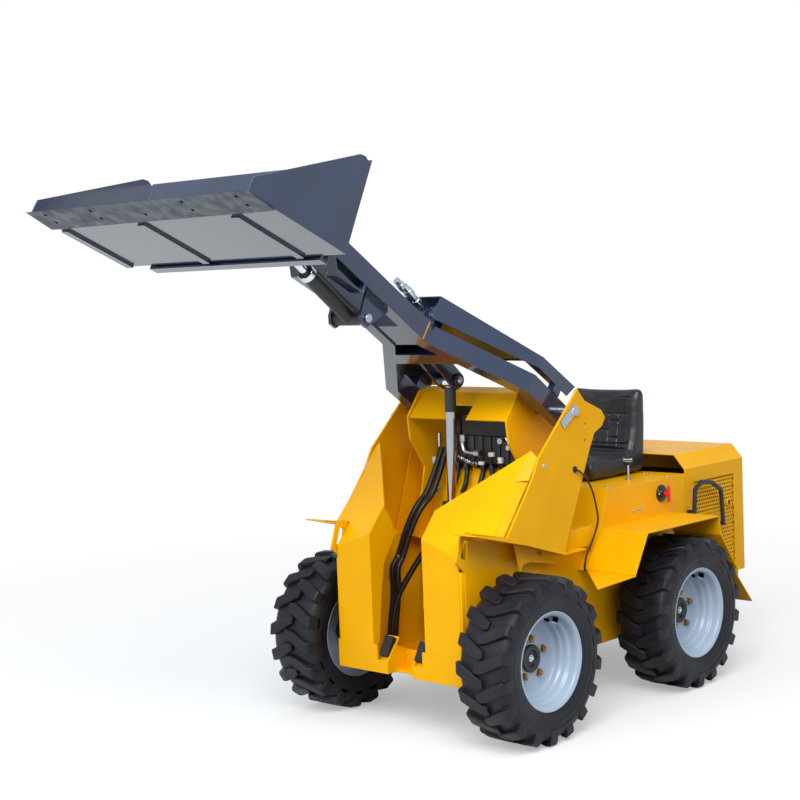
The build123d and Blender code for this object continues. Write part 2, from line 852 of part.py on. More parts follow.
with BuildPart() as lift_barrel:
    with BuildSketch(lift_across(26)):
        Circle(lift_barrel_radius)
    extrude(amount=lift_barrel_length - 26)
    with BuildSketch(lift_across(50)):
        Circle(lift_bore_radius)
    extrude(amount=lift_barrel_length - 50 - 20, mode=Mode.SUBTRACT)
    with BuildSketch(lift_across(lift_barrel_length - 30)):
        Circle(lift_rod_radius + running_gap)
    extrude(amount=40, mode=Mode.SUBTRACT)
    with BuildSketch(side(0, lift_base_x, lift_base_z)):
        Circle(30)
    extrude(amount=20, both=True)
write(lift_barrel, "lift_cylinder_barrel")

with BuildPart() as lift_rod:
    with BuildSketch(lift_across(lift_barrel_length - 40)):
        Circle(lift_rod_radius)
    extrude(amount=lift_length - lift_barrel_length + 40 - 10)
    with BuildSketch(side(0, lift_eye_x, lift_eye_z)):
        Circle(28)
    extrude(amount=lift_ear_half_gap - running_gap, both=True)
write(lift_rod, "lift_cylinder_rod")


# Tilt cylinder
tilt_turn = atan2(tilt_pin_v - tilt_base_v, tilt_pin_u - tilt_base_u)
tilt_length = hypot(tilt_pin_u - tilt_base_u, tilt_pin_v - tilt_base_v)
tilt_angle = boom_angle + degrees(tilt_turn)
tilt_base_x, tilt_base_z = boom_point(tilt_base_u, tilt_base_v)
tilt_eye_x, tilt_eye_z = boom_point(tilt_pin_u, tilt_pin_v)


def tilt_across(distance):
    """Plane square to the tilt cylinder at a distance from its base pin."""
    turn = radians(tilt_angle)
    origin = (base_x + tilt_base_x + distance * cos(turn), 0, tilt_base_z + distance * sin(turn))
    return Plane(origin=origin, x_dir=(0, 1, 0), z_dir=(cos(turn), 0, sin(turn)))


with BuildPart() as tilt_barrel:
    with BuildSketch(tilt_across(18)):
        Circle(tilt_barrel_radius)
    extrude(amount=tilt_barrel_length - 18)
    with BuildSketch(tilt_across(40)):
        Circle(tilt_bore_radius)
    extrude(amount=tilt_barrel_length - 40 - 20, mode=Mode.SUBTRACT)
    with BuildSketch(tilt_across(tilt_barrel_length - 30)):
        Circle(tilt_rod_radius + running_gap)
    extrude(amount=40, mode=Mode.SUBTRACT)
    with BuildSketch(side(0, tilt_base_x, tilt_base_z)):
        Circle(24)
    extrude(amount=tilt_ear_half_gap - running_gap, both=True)
write(tilt_barrel, "tilt_cylinder_barrel")

with BuildPart() as tilt_rod:
    with BuildSketch(tilt_across(tilt_barrel_length - 100)):
        Circle(tilt_rod_radius)
    extrude(amount=tilt_length - tilt_barrel_length + 100 - 10)
    with BuildSketch(side(0, tilt_eye_x, tilt_eye_z)):
        Circle(22)
    extrude(amount=rod_ear_half_gap - running_gap, both=True)
write(tilt_rod, "tilt_cylinder_rod")


# Bucket, in its own side view: local x along the floor to the lip, local y up the back
def bucket_side(y):
    """Side plane of the bucket with its origin at the heel."""
    return side(y, heel_x, heel_z, bucket_angle)


# columns: along the floor, up the back
bucket_side_plate = [
    (0, 0),
    (414, 0),
    (408, 50),
    (52, bucket_back_height - 4),
    (30, bucket_back_height),
    (0, bucket_back_height - 14),
]
floor_end = bucket_floor_length - 20
# columns: y of the strips under the floor
floor_strips = (330, -100, -490)
# columns: distance along the floor, y of the bolt holes in the lip
lip_holes = [(400, y) for y in (450, 216, -216, -450)] + [(353, y) for y in (450, 216, 0, -216, -450)]

with BuildPart() as bucket:
    with BuildSketch(bucket_side(0)):
        with BuildLine():
            Polyline(
                (0, 0),
                (floor_end, 0),
                (floor_end, bucket_gauge),
                (bucket_gauge, bucket_gauge),
                (bucket_gauge, bucket_back_height),
                (0, bucket_back_height),
                close=True,
            )
        make_face()
    extrude(amount=bucket_half_width, both=True)
    for hand in (1, -1):
        with BuildSketch(bucket_side(hand * bucket_half_width)):
            with BuildLine():
                Polyline(*bucket_side_plate, close=True)
            make_face()
        extrude(amount=hand * bucket_side_gauge)
    for strip_y in floor_strips:
        with BuildSketch(bucket_side(strip_y)):
            with Locations(((floor_end - lip_length) / 2, -4)):
                Rectangle(floor_end - lip_length - 10, 8)
        extrude(amount=16, both=True)
write(bucket, "bucket_shell")

with BuildPart() as lip:
    with BuildSketch(bucket_side(0)):
        with BuildLine():
            Polyline(
                (bucket_floor_length - lip_length, -lip_gauge),
                (bucket_floor_length, -1),
                (bucket_floor_length, 0),
                (bucket_floor_length - lip_length, 0),
                close=True,
            )
        make_face()
    extrude(amount=lip_half_width, both=True)
    for along, hole_y in lip_holes:
        with BuildSketch(bucket_side(hole_y)):
            with Locations((along, -lip_gauge / 2)):
                Rectangle(12, lip_gauge + 2)
        extrude(amount=6, both=True, mode=Mode.SUBTRACT)
write(lip, "bucket_cutting_edge")

# Coupler: cheeks and ears on the hinge pin, welded to the plate behind the bucket's back
cheek_outer_y = cheek_inner_y + cheek_gauge
rod_ear_outer_y = rod_ear_half_gap + rod_ear_gauge
plate_low = 30.0
plate_high = 262.0
# columns: along the floor, up the back
coupler_cheek = [
    (hinge_back - 24, hinge_up - 26),
    (-cross_plate_gauge, plate_low),
    (-cross_plate_gauge, plate_high - 7),
    (-90, plate_high),
    (hinge_back - 12, hinge_up + 36),
    (hinge_back - 34, hinge_up + 12),
]
rod_ear = [
    (hinge_back - 26, hinge_up + 6),
    (tilt_pin_back - 26, tilt_pin_up - 6),
    (tilt_pin_back - 14, tilt_pin_up - 26),
    (tilt_pin_back + 16, tilt_pin_up - 26),
    (-cross_plate_gauge, plate_low + 30),
    (-cross_plate_gauge, plate_high - 40),
    (hinge_back + 10, hinge_up + 28),
    (hinge_back - 16, hinge_up + 26),
]
with BuildPart() as coupler:
    with BuildSketch(boom_side(0)):
        with Locations((coupler_u, coupler_v)):
            Circle(pivot_pin_radius)
    extrude(amount=cheek_outer_y + 6, both=True)
    with BuildSketch(bucket_side(0)):
        with Locations((-(cross_plate_gauge + running_gap) / 2, (plate_low + plate_high) / 2)):
            Rectangle(cross_plate_gauge - running_gap, plate_high - plate_low)
    extrude(amount=cross_half_width, both=True)
    with BuildSketch(bucket_side(0)):
        with BuildLine():
            Polyline((-8, plate_low + 4), (-8, -10), (-40, -10))
            offset(amount=6, side=Side.RIGHT, kind=Kind.INTERSECTION)
        make_face()
    extrude(amount=cross_half_width - 40, both=True)
    with BuildSketch(bucket_side(0)):
        with Locations((-34, plate_high + 6)):
            Rectangle(56, 8)
    extrude(amount=cross_half_width, both=True)
    with BuildSketch(bucket_side(0)):
        with Locations((-10, plate_high + 2)):
            Rectangle(8, 16)
    extrude(amount=cross_half_width, both=True)
    for hand in (1, -1):
        with BuildSketch(bucket_side(hand * cheek_outer_y)):
            with BuildLine():
                Polyline(*coupler_cheek, close=True)
            make_face()
        extrude(amount=hand * cheek_gauge)
        with BuildSketch(bucket_side(hand * rod_ear_outer_y)):
            with BuildLine():
                Polyline(*rod_ear, close=True)
            make_face()
        extrude(amount=hand * rod_ear_gauge)
        with BuildSketch(bucket_side(hand * (rod_ear_outer_y + pin_head_height))):
            with Locations((tilt_pin_back, tilt_pin_up)):
                RegularPolygon(pin_head_radius, 12)
        extrude(amount=hand * (pin_head_height + 1))
write(coupler, "coupler_frame")


# Fenders: folded sheet over each rear wheel, with a level corner in front and a flap behind
# columns: x, z of the folds
fender_folds = [(-30, 505), (-118, 648), (-613, 644), (-623, 570), (-738, 421), (-744, 404)]
flap_folds = [(-738, 421), (-744, 404), (-869, 266)]
corner_tip = (205, fender_outer_y, 496)
for name, hand in (("left", 1), ("right", -1)):
    with BuildPart() as fender:
        with BuildSketch(side(hand * fender_outer_y)):
            with BuildLine():
                Polyline(*fender_folds)
                offset(amount=fender_gauge, side=Side.LEFT, kind=Kind.INTERSECTION)
            make_face()
        extrude(amount=hand * (fender_outer_y - deck_half_width))
        with BuildSketch(side(hand * flap_outer_y)):
            with BuildLine():
                Polyline(*flap_folds)
                offset(amount=fender_gauge, side=Side.LEFT, kind=Kind.INTERSECTION)
            make_face()
        extrude(amount=hand * (flap_outer_y - flap_inner_y))
        level_corner = [(-35, deck_half_width, 504), (-35, fender_outer_y, 504), corner_tip]
        extrude(plate(level_corner, hand), amount=fender_gauge, dir=(0, 0, -1))
    write(fender, "fender_" + name)


# Seat deck: a folded box over the hydraulics with a sloping front and a sunken floor for the seat
deck_slope = [(deck_front_x, deck_top_z), (-127, 648), (-95, frame_top_z + 4)]
deck_side = [
    (deck_front_x, deck_top_z),
    (deck_rear_x, deck_top_z),
    (deck_rear_x, frame_top_z - 20),
    (-78, frame_top_z - 20),
    deck_slope[2],
    deck_slope[1],
]
with BuildPart() as deck:
    for hand in (1, -1):
        with BuildSketch(side(hand * deck_half_width)):
            with BuildLine():
                Polyline(*deck_side, close=True)
            make_face()
        extrude(amount=hand * deck_gauge)
        with BuildSketch(side(hand * deck_half_width)):
            with BuildLine():
                Polyline(deck_slope[2], (-24, 504))
                offset(amount=deck_gauge, side=Side.RIGHT, kind=Kind.INTERSECTION)
            make_face()
        extrude(amount=hand * (deck_half_width - frame_half_width - running_gap))
    with BuildSketch(side(0)):
        with BuildLine():
            Polyline(*deck_slope)
            offset(amount=deck_gauge, side=Side.RIGHT, kind=Kind.INTERSECTION)
        make_face()
    extrude(amount=deck_half_width, both=True)
    with BuildSketch(Plane.XY.offset(deck_top_z - deck_gauge)):
        with Locations((base_x + (deck_front_x + deck_rear_x) / 2 - 2, 0)):
            Rectangle(deck_front_x - deck_rear_x - 4, 2 * deck_half_width)
        with Locations((base_x + (well_front_x + well_rear_x) / 2, 0)):
            Rectangle(well_front_x - well_rear_x, 2 * well_half_width, mode=Mode.SUBTRACT)
    extrude(amount=deck_gauge)
    with BuildSketch(side(0)):
        with Locations((deck_rear_x + deck_gauge / 2, (deck_top_z + frame_top_z + 2 * running_gap) / 2)):
            Rectangle(deck_gauge, deck_top_z - frame_top_z - 2 * running_gap)
    extrude(amount=deck_half_width - 1, both=True)
write(deck, "seat_deck")

# Seat base: the sunken floor, hung under the deck, and the seat's slides
deck_under_z = deck_top_z - deck_gauge
with BuildPart() as seat_base:
    with BuildSketch(side(0)):
        with Locations(((well_front_x + well_rear_x) / 2, well_floor_z - deck_gauge / 2)):
            Rectangle(well_front_x - well_rear_x + 20, deck_gauge)
    extrude(amount=well_half_width + 20, both=True)
    for hand in (1, -1):
        with BuildSketch(side(hand * (well_half_width + 20))):
            with Locations(((well_front_x + well_rear_x) / 2, (well_floor_z - 2 + deck_under_z) / 2)):
                Rectangle(well_front_x - well_rear_x + 20, deck_under_z - well_floor_z + 2 - 2 * running_gap)
        extrude(amount=hand * 10)
        for post_x in (-640, -470):
            with BuildSketch(Plane.XY.offset(well_floor_z - 1)):
                with Locations((base_x + post_x, hand * 95)):
                    Rectangle(60, 30)
            extrude(amount=seat_bottom_z - running_gap - well_floor_z + 1)
write(seat_base, "seat_base")

# Engine hood: a shell open at the front and below, with a grille opening in each side
# columns: x, z of the grille's corners
grille = [(-791, 742), (-1100, 742), (-1100, 360), (-960, 360), (-791, 600)]
with BuildPart() as hood:
    with BuildSketch(Plane(origin=(base_x + hood_front_x, 0, 0), x_dir=(0, 1, 0), z_dir=(1, 0, 0))):
        with BuildLine():
            Polyline(
                (-hood_half_width, hood_bottom_z),
                (-hood_half_width, hood_side_z),
                (-hood_top_half_width, hood_top_z),
                (hood_top_half_width, hood_top_z),
                (hood_half_width, hood_side_z),
                (hood_half_width, hood_bottom_z),
                (hood_half_width - hood_gauge, hood_bottom_z),
                (hood_half_width - hood_gauge, hood_side_z - 2),
                (hood_top_half_width - 2, hood_top_z - hood_gauge),
                (-hood_top_half_width + 2, hood_top_z - hood_gauge),
                (-hood_half_width + hood_gauge, hood_side_z - 2),
                (-hood_half_width + hood_gauge, hood_bottom_z),
                close=True,
            )
        make_face()
    extrude(amount=hood_rear_x - hood_front_x)
    with BuildSketch(Plane(origin=(base_x + hood_rear_x, 0, 0), x_dir=(0, 1, 0), z_dir=(1, 0, 0))):
        with BuildLine():
            Polyline(
                (-hood_half_width, hood_bottom_z),
                (-hood_half_width, hood_side_z),
                (-hood_top_half_width, hood_top_z),
                (hood_top_half_width, hood_top_z),
                (hood_half_width, hood_side_z),
                (hood_half_width, hood_bottom_z),
                close=True,
            )
        make_face()
    extrude(amount=hood_gauge)
    with BuildSketch(side(0)):
        with BuildLine():
            Polyline(*grille, close=True)
        make_face()
    extrude(amount=hood_half_width + 1, both=True, mode=Mode.SUBTRACT)
    for hand in (1, -1):
        with BuildSketch(side(hand * (hinge_inner_y + hinge_width), hood_hinge_x, hood_hinge_z)):
            Circle(hinge_radius)
            with Locations((hood_gauge / 2 - hinge_radius, hinge_radius)):
                Rectangle(hood_gauge, 2 * hinge_radius)
            Circle(hinge_pin_radius + running_gap, mode=Mode.SUBTRACT)
        extrude(amount=hand * hinge_width)
write(hood, "engine_hood")

with BuildPart() as engine:
    with Locations((base_x + engine_x, 0, engine_z)):
        Box(engine_length, engine_width, engine_height)
write(engine, "engine_block")

# Grab handles: one bent tube on each side of the hood
handle_radius = 9.0
handle_y = hood_half_width + 31
# columns: x, y, z along the tube's middle
handle_line = [
    (-740, hood_half_width, 627),
    (-740, handle_y, 627),
    (-750, handle_y, 718),
    (-797, handle_y, 743),
    (-878, handle_y, 731),
    (-946, handle_y, 694),
    (-958, handle_y, 554),
    (-958, hood_half_width, 554),
]
with BuildPart() as handles:
    for hand in (1, -1):
        with BuildLine():
            Polyline(*[(base_x + x, hand * y, z) for x, y, z in handle_line])
        with BuildSketch(Plane(origin=(base_x - 740, hand * hood_half_width, 627), z_dir=(0, hand, 0))):
            RegularPolygon(handle_radius, 12)
        sweep(transition=Transition.RIGHT)
write(handles, "grab_handles")


# Front bay: bulkhead behind the cylinder, visor over it and the valve block between the towers
bulkhead_x = 235.0
visor_line = [(286, 1083), (196, 1175), (150, 1192)]
with BuildPart() as bulkhead:
    with BuildSketch(side(0)):
        with BuildLine():
            Polyline((bulkhead_x, floor_z + frame_gauge), (bulkhead_x, 560), (tower_back_x, 1000))
            offset(amount=5, side=Side.LEFT, kind=Kind.INTERSECTION)
        make_face()
    extrude(amount=tower_inner_y - running_gap, both=True)
    with BuildSketch(side(0)):
        with Locations((bulkhead_x + 8, 366)):
            Rectangle(20, 34)
    extrude(amount=tower_inner_y - running_gap, both=True)
write(bulkhead, "bulkhead")

with BuildPart() as visor:
    with BuildSketch(side(0)):
        with BuildLine():
            Polyline(*visor_line)
            offset(amount=5, side=Side.LEFT, kind=Kind.INTERSECTION)
        make_face()
    extrude(amount=tower_inner_y - running_gap, both=True)
    with BuildSketch(Plane.XY.offset(1000)):
        with Locations((base_x + 315, 0)):
            Rectangle(160, 90)
    extrude(amount=300, mode=Mode.SUBTRACT)
write(visor, "visor_plate")

with BuildPart() as valve:
    with Locations((base_x + 90, 30, 1000 + running_gap + 40)):
        Box(90, 260, 80)
write(valve, "valve_block")

# Battery switch on the deck's left side: disc, stem and turning key
switch_x = -540.0
switch_z = 728.0
with BuildPart() as isolator:
    with BuildSketch(side(deck_half_width, switch_x, switch_z)):
        RegularPolygon(32, 24)
    extrude(amount=-18)
    with BuildSketch(side(deck_half_width + 18, switch_x, switch_z)):
        RegularPolygon(10, 12)
    extrude(amount=-14)
    with BuildSketch(side(deck_half_width + 32, switch_x, switch_z)):
        Rectangle(14, 64)
    extrude(amount=-10)
write(isolator, "isolator_switch")

# The stops lie on the frame's brackets, under the straps of the lowered arms.
with BuildPart() as stops:
    for hand in (1, -1):
        with BuildSketch(side(hand * (stop_inner_y + stop_width), pivot_x, pivot_z, low_turn)):
            with BuildLine():
                Polyline(
                    stop_line(stop_back_u, stop_clearance),
                    stop_line(stop_front_u, stop_clearance),
                    stop_line(stop_front_u, stop_under),
                    stop_line(stop_back_u, stop_under),
                    close=True,
                )
            make_face()
        extrude(amount=hand * stop_width)
write(stops, "rubber_stops")

# columns: x, y, rod radius, knob radius, height of the knob's foot, knob's height
lever_table = [
    (-465, deck_half_width - 100, 5, 11, 62, 26),
    (-200, 110, 7, 16, 270, 44),
]
with BuildPart() as levers:
    for hand in (1, -1):
        for lever_x, lever_y, rod_r, knob_r, rod_height, knob_height in lever_table:
            with BuildSketch(Plane.XY.offset(deck_top_z)):
                with Locations((base_x + lever_x, hand * lever_y)):
                    RegularPolygon(rod_r, 8)
            extrude(amount=rod_height + 1)
            with BuildSketch(Plane.XY.offset(deck_top_z + rod_height)):
                with Locations((base_x + lever_x, hand * lever_y)):
                    RegularPolygon(knob_r, 12)
            extrude(amount=knob_height)
write(levers, "control_levers")

with BuildPart() as seat:
    with BuildSketch(side(0)):
        with BuildLine():
            Polyline(
                (seat_back_x + seat_cushion_length, seat_bottom_z),
                (seat_back_x + seat_cushion_length + 12, seat_bottom_z + 50),
                (seat_back_x + seat_cushion_length - 20, seat_bottom_z + 96),
                (seat_back_x + 120, seat_bottom_z + 84),
                (seat_back_x + 78, seat_bottom_z + 160),
                (seat_back_x + 60, seat_top_z),
                (seat_back_x + 10, seat_top_z),
                (seat_back_x, seat_bottom_z + 200),
                (seat_back_x + 30, seat_bottom_z),
                close=True,
            )
        make_face()
    extrude(amount=seat_width / 2, both=True)
write(seat, "seat")


# Hoses and the cable: straight runs joined by arcs as large as the runs allow
# columns: x, y, z of the points
hose_routes = {
    "bay_hose_1": [
        (142, -198, 958),
        (200, -216, 803),
        (275, -224, 747),
        (310, -244, 669),
        (335, -272, 553),
        (372, -273, 524),
        (362, -271, 441),
        (392, -276, 270),
        (392, -276, floor_z + frame_gauge),
    ],
    "bay_hose_2": [
        (150, -168, 958),
        (230, -161, 798),
        (300, -171, 754),
        (335, -196, 676),
        (365, -218, 563),
        (400, -218, 530),
        (390, -219, 451),
        (420, -223, 282),
        (420, -223, floor_z + frame_gauge),
    ],
    "bay_hose_3": [
        (385, -57, 643),
        (385, -100, 594),
        (410, -162, 495),
        (430, -203, 413),
        (450, -214, 289),
        (450, -214, floor_z + frame_gauge),
    ],
}
cable_route = [
    (cable_hole_x, tower_outer_y, cable_hole_z),
    (cable_hole_x, tower_outer_y + 14, cable_hole_z),
    (62, 414, 866),
    (10, 402, 815),
    (-30, 388, 755),
    (-70, 370, 690),
    (-62, 358, 640),
    (-40, 348, 590),
    (-14, 341, 545),
    (-14, 341, 504),
]
for name, points in hose_routes.items():
    places = [Vector(base_x + x, y, z) for x, y, z in points]
    write_cord(places, hose_diameter, name)
write_cord([Vector(base_x + x, y, z) for x, y, z in cable_route], cable_diameter, "tower_cable")
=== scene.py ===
"""Looks of a compact ride-on skid steer loader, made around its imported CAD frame.

Sizes are millimetres, except where a comment says metres. Places are given as the part's source
gives them: along the machine from the middle of the wheelbase, across it to the left, and up from
the ground.
"""

import logging
import math
from dataclasses import dataclass, field
from enum import Enum
from functools import partial
from typing import Iterable, Sequence

import bmesh
import bpy
import numpy as np
from mathutils import Matrix, Vector


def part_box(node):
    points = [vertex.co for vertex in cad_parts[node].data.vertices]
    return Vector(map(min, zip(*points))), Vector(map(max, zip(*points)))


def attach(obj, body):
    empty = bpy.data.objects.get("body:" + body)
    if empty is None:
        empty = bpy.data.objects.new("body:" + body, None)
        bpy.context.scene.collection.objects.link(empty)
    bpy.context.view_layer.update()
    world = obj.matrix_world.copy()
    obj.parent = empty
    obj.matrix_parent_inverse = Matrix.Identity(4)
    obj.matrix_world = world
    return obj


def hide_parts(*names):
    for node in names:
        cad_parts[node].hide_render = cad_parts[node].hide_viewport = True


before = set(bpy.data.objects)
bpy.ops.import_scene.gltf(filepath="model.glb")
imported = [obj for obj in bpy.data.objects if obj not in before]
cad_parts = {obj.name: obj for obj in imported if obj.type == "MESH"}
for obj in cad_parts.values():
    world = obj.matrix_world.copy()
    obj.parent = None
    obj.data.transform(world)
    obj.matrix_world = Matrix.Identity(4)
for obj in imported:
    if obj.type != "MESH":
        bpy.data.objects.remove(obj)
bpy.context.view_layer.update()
MM = 0.001
TAU = 2 * math.pi
Point = tuple[float, float]
Place = tuple[float, float, float]
OUT = {1: Vector((0, 1, 0)), -1: Vector((0, -1, 0))}
UP = Vector((0, 0, 1))
log = logging.getLogger("loader")


def middle(node: str) -> Vector:
    """Middle of a CAD node's box, in metres."""
    low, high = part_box(node)
    return (low + high) / 2


BASE_X = (middle("tyre_front_left").x + middle("tyre_rear_left").x) / 2


def at(x: float, y: float, z: float) -> Vector:
    """Place in the shared frame, in metres, of a place given in millimetres from mid wheelbase."""
    return Vector((BASE_X + x * MM, y * MM, z * MM))


def around(radius: float, along: float, turn: float) -> Vector:
    """Point at a distance along the Y axis, a radius from it and an angle round it, in metres."""
    return Vector((radius * MM * math.cos(turn), along * MM, radius * MM * math.sin(turn)))


# ---------------------------------------------------------------- boom frame
BOOM_ANGLE = math.radians(35.4)
PIVOT = (106.0, 1108.0)


def on_boom(u: float, y: float, v: float) -> Vector:
    """Place of a boom point: u forward along the arms, y to the left, v square to the arms, upwards."""
    cos, sin = math.cos(BOOM_ANGLE), math.sin(BOOM_ANGLE)
    return at(PIVOT[0] + u * cos - v * sin, y, PIVOT[1] + u * sin + v * cos)


# ---------------------------------------------------------------- materials
def linear(code: str) -> tuple[float, float, float, float]:
    """Linear colour of an sRGB hex value such as #F2C300."""
    parts = [int(code[i : i + 2], 16) / 255 for i in (1, 3, 5)]
    return (*(c / 12.92 if c <= 0.04045 else ((c + 0.055) / 1.055) ** 2.4 for c in parts), 1.0)


def add_node(tree: bpy.types.NodeTree, kind: str, settings: dict | None = None) -> bpy.types.Node:
    """Add a node to a tree.

    Args:
        tree: The material's or modifier's tree.
        kind: The node's type name.
        settings: Properties by name, and for inputs, by name or number, a value or a source socket.

    Returns:
        The new node.
    """
    node = tree.nodes.new(kind)
    given = settings or {}
    own = [key for key in given if isinstance(key, str) and key not in node.inputs]
    for key in own:
        setattr(node, key, given[key])
    for key, value in given.items():
        if key in own:
            continue
        if isinstance(value, bpy.types.NodeSocket):
            tree.links.new(value, node.inputs[key])
        else:
            node.inputs[key].default_value = value
    return node


def fresh_tree(owner: bpy.types.Material | bpy.types.World) -> partial:
    """Empty the tree of a material or a world.

    Args:
        owner: The material or the world.

    Returns:
        add_node for that tree.
    """
    owner.use_nodes = True
    owner.node_tree.nodes.clear()
    return partial(add_node, owner.node_tree)


class Grain(Enum):
    """How a surface's fine relief was made."""

    SPRAYED = "orange peel of sprayed paint"
    LEATHER = "pebbled grain pressed into vinyl"
    BRUSHED = "turned or ground lines"
    CAST = "sandy cast or moulded skin"


@dataclass(frozen=True)
class Finish:
    """One real finish: the name of the record's slot for it, its colours, gloss and relief."""

    name: str
    slot: str
    colour: str
    shade: str
    patch_mm: float
    roughness: Point
    grain: Grain = Grain.SPRAYED
    grain_mm: float = 2.0
    relief_mm: float = 0.03
    metallic: float = 0.0
    coat: float = 0.0
    coat_roughness: float = 0.08
    sheen: float = 0.0
    edge_mm: float = 1.5
    # colour that edges are mixed towards, in patches: wear on most finishes, a painted highlight along the folds of the
    # yellow paint
    edge_wear_and_highlight: str = ""
    ior: float = 1.5
    specular: float = 0.5

    def material(self) -> bpy.types.Material:
        """The finish as a node material, made on its first use."""
        return bpy.data.materials.get(self.name) or self._build()

    def _height(self, add: partial, place: bpy.types.NodeSocket) -> bpy.types.NodeSocket:
        """Make the fine relief.

        Args:
            add: add_node for the material's tree.
            place: Object coordinates.

        Returns:
            Its height, from 0 to 1.
        """
        scale = 1 / (self.grain_mm * MM)
        if self.grain is Grain.LEATHER:
            cells = {"feature": "SMOOTH_F1", "Scale": scale, "Vector": place}
            return add("ShaderNodeTexVoronoi", cells).outputs["Distance"]
        if self.grain is Grain.BRUSHED:
            place = add("ShaderNodeMapping", {"Scale": (1.0, 0.04, 1.0), "Vector": place}).outputs[0]
        detail = {Grain.SPRAYED: 1.0, Grain.BRUSHED: 2.0}.get(self.grain, 5.0)
        return add("ShaderNodeTexNoise", {"Scale": scale, "Detail": detail, "Vector": place}).outputs[0]

    def _build(self) -> bpy.types.Material:
        """Patches of two colours, gloss that varies, a fine relief, rounded edges, and edges lightened by wear and by
        painted highlight.

        Returns:
            The material.
        """
        made = bpy.data.materials.new(self.name)
        add = fresh_tree(made)
        place = add("ShaderNodeTexCoord").outputs["Object"]
        noise = {"Scale": 1 / (self.patch_mm * MM), "Detail": 4.0, "Vector": place}
        patches = add("ShaderNodeTexNoise", noise).outputs[0]
        spread = add("ShaderNodeMapRange", {0: patches, 1: 0.35, 2: 0.65}).outputs[0]
        shades = {"data_type": "RGBA", 0: spread, 6: linear(self.colour), 7: linear(self.shade)}
        colour = add("ShaderNodeMix", shades).outputs[2]
        low, high = self.roughness
        gloss = add("ShaderNodeMapRange", {0: patches, 1: 0.3, 2: 0.7, 3: low, 4: high}).outputs[0]
        rounded = add("ShaderNodeBevel", {"samples": 4, "Radius": self.edge_mm * MM}).outputs[0]
        # edges, found where the bevel's rounded normal turns from the flat one, are lightened in patches: wear, and on
        # the yellow paint a painted highlight along its folds
        if self.edge_wear_and_highlight:
            flat = add("ShaderNodeNewGeometry").outputs["Normal"]
            turn = add("ShaderNodeVectorMath", {"operation": "DOT_PRODUCT", 0: rounded, 1: flat}).outputs["Value"]
            edge = add("ShaderNodeMapRange", {0: turn, 1: 0.999, 2: 0.93, 3: 0.0, 4: 1.0}).outputs[0]
            wear_and_highlight_share = add("ShaderNodeMath", {"operation": "MULTIPLY", 0: edge, 1: spread}).outputs[0]
            wear_and_highlight_mix = {"data_type": "RGBA", 0: wear_and_highlight_share, 6: colour, 7: linear(self.edge_wear_and_highlight)}
            colour = add("ShaderNodeMix", wear_and_highlight_mix).outputs[2]
        bump = {"Strength": 1.0, "Distance": self.relief_mm * MM, "Height": self._height(add, place), "Normal": rounded}
        values = {
            "Metallic": self.metallic,
            "Coat Weight": self.coat,
            "Coat Roughness": self.coat_roughness,
            "Sheen Weight": self.sheen,
            "Specular IOR Level": self.specular,
            "Base Color": colour,
            "Roughness": gloss,
            "Normal": add("ShaderNodeBump", bump).outputs[0],
        }
        if not self.metallic:
            values["IOR"] = self.ior
        shader = add("ShaderNodeBsdfPrincipled", values)
        add("ShaderNodeOutputMaterial", {"Surface": shader.outputs[0]})
        made.diffuse_color = linear(self.colour)
        return made


# Two-coat gloss paint over folded plate: deep yellow, with a painted highlight as a lighter line along each edge
YELLOW = Finish(
    "gloss_yellow_paint", "body_yellow", "#F2B000", "#EAA600", 260, (0.32, 0.42), coat=0.06, edge_mm=2.2,
    edge_wear_and_highlight="#FFCC20", specular=0.12,
)
# Blue-grey gloss enamel on the boom and bucket: mirrors the studio, scuffed pale along its edges
ENAMEL = Finish(
    "blue_grey_enamel", "boom_dark", "#18253F", "#1D2C4B", 180, (0.14, 0.24), coat=1.0, edge_mm=2.2, edge_wear_and_highlight="#3D4C68"
)
# Powder coat on brackets and rails: dull black with an even sandy skin
POWDER = Finish(
    "black_powder_coat", "frame_black", "#17181B", "#1E2023", 90, (0.42, 0.55), Grain.CAST, 1.2, 0.03, edge_mm=1.2
)
# Pale blue-grey powder coat on the rims
RIM_PAINT = Finish(
    "pale_grey_rim_paint", "rim_grey", "#A9B8CA", "#A0AFC2", 140, (0.3, 0.4), coat=0.3, edge_mm=1.5, edge_wear_and_highlight="#E4EAF0"
)
# Carbon-black tyre rubber: blue-black, dull, with a film of dust in patches
TYRE = Finish(
    "carbon_black_tyre", "tyre_rubber", "#101117", "#191A21", 60, (0.4, 0.6), Grain.CAST, 1.6, 0.16, edge_mm=2.5,
    edge_wear_and_highlight="#24262E", specular=0.3,
)
# Braided hose cover: black with a slight gloss
HOSE = Finish(
    "hose_rubber_cover", "hose_rubber", "#08090C", "#101116", 30, (0.38, 0.5), Grain.CAST, 1.0, 0.08, edge_mm=0.6
)
# Moulded rubber of stops and plugs: dead black, no shine
STOP = Finish(
    "moulded_stop_rubber", "stop_rubber", "#0A0A0D", "#121316", 40, (0.5, 0.65), Grain.CAST, 1.0, 0.05, edge_mm=2.0
)
# Hard chrome on cylinder rods: a mirror with faint grinding lines
CHROME = Finish(
    "hard_chrome", "bare_steel", "#D9DCE0", "#CDD1D6", 60, (0.06, 0.14), Grain.BRUSHED, 0.8, 0.004, 1.0, edge_mm=0.8
)
# Bright zinc plate on bolts, pins and couplers: silver, a little cloudy
ZINC = Finish(
    "bright_zinc_plate", "bare_steel", "#CBD0D6", "#BFC5CC", 30, (0.2, 0.38), Grain.CAST, 0.8, 0.01, 1.0, edge_mm=0.7
)
# Yellow chromate zinc on wheel nuts: gold that drifts to copper
GOLD_ZINC = Finish(
    "yellow_chromate_zinc", "bare_steel", "#A98B5C", "#8A6A48", 12, (0.24, 0.42), Grain.CAST, 0.8, 0.01, 1.0,
    edge_mm=0.7,
)
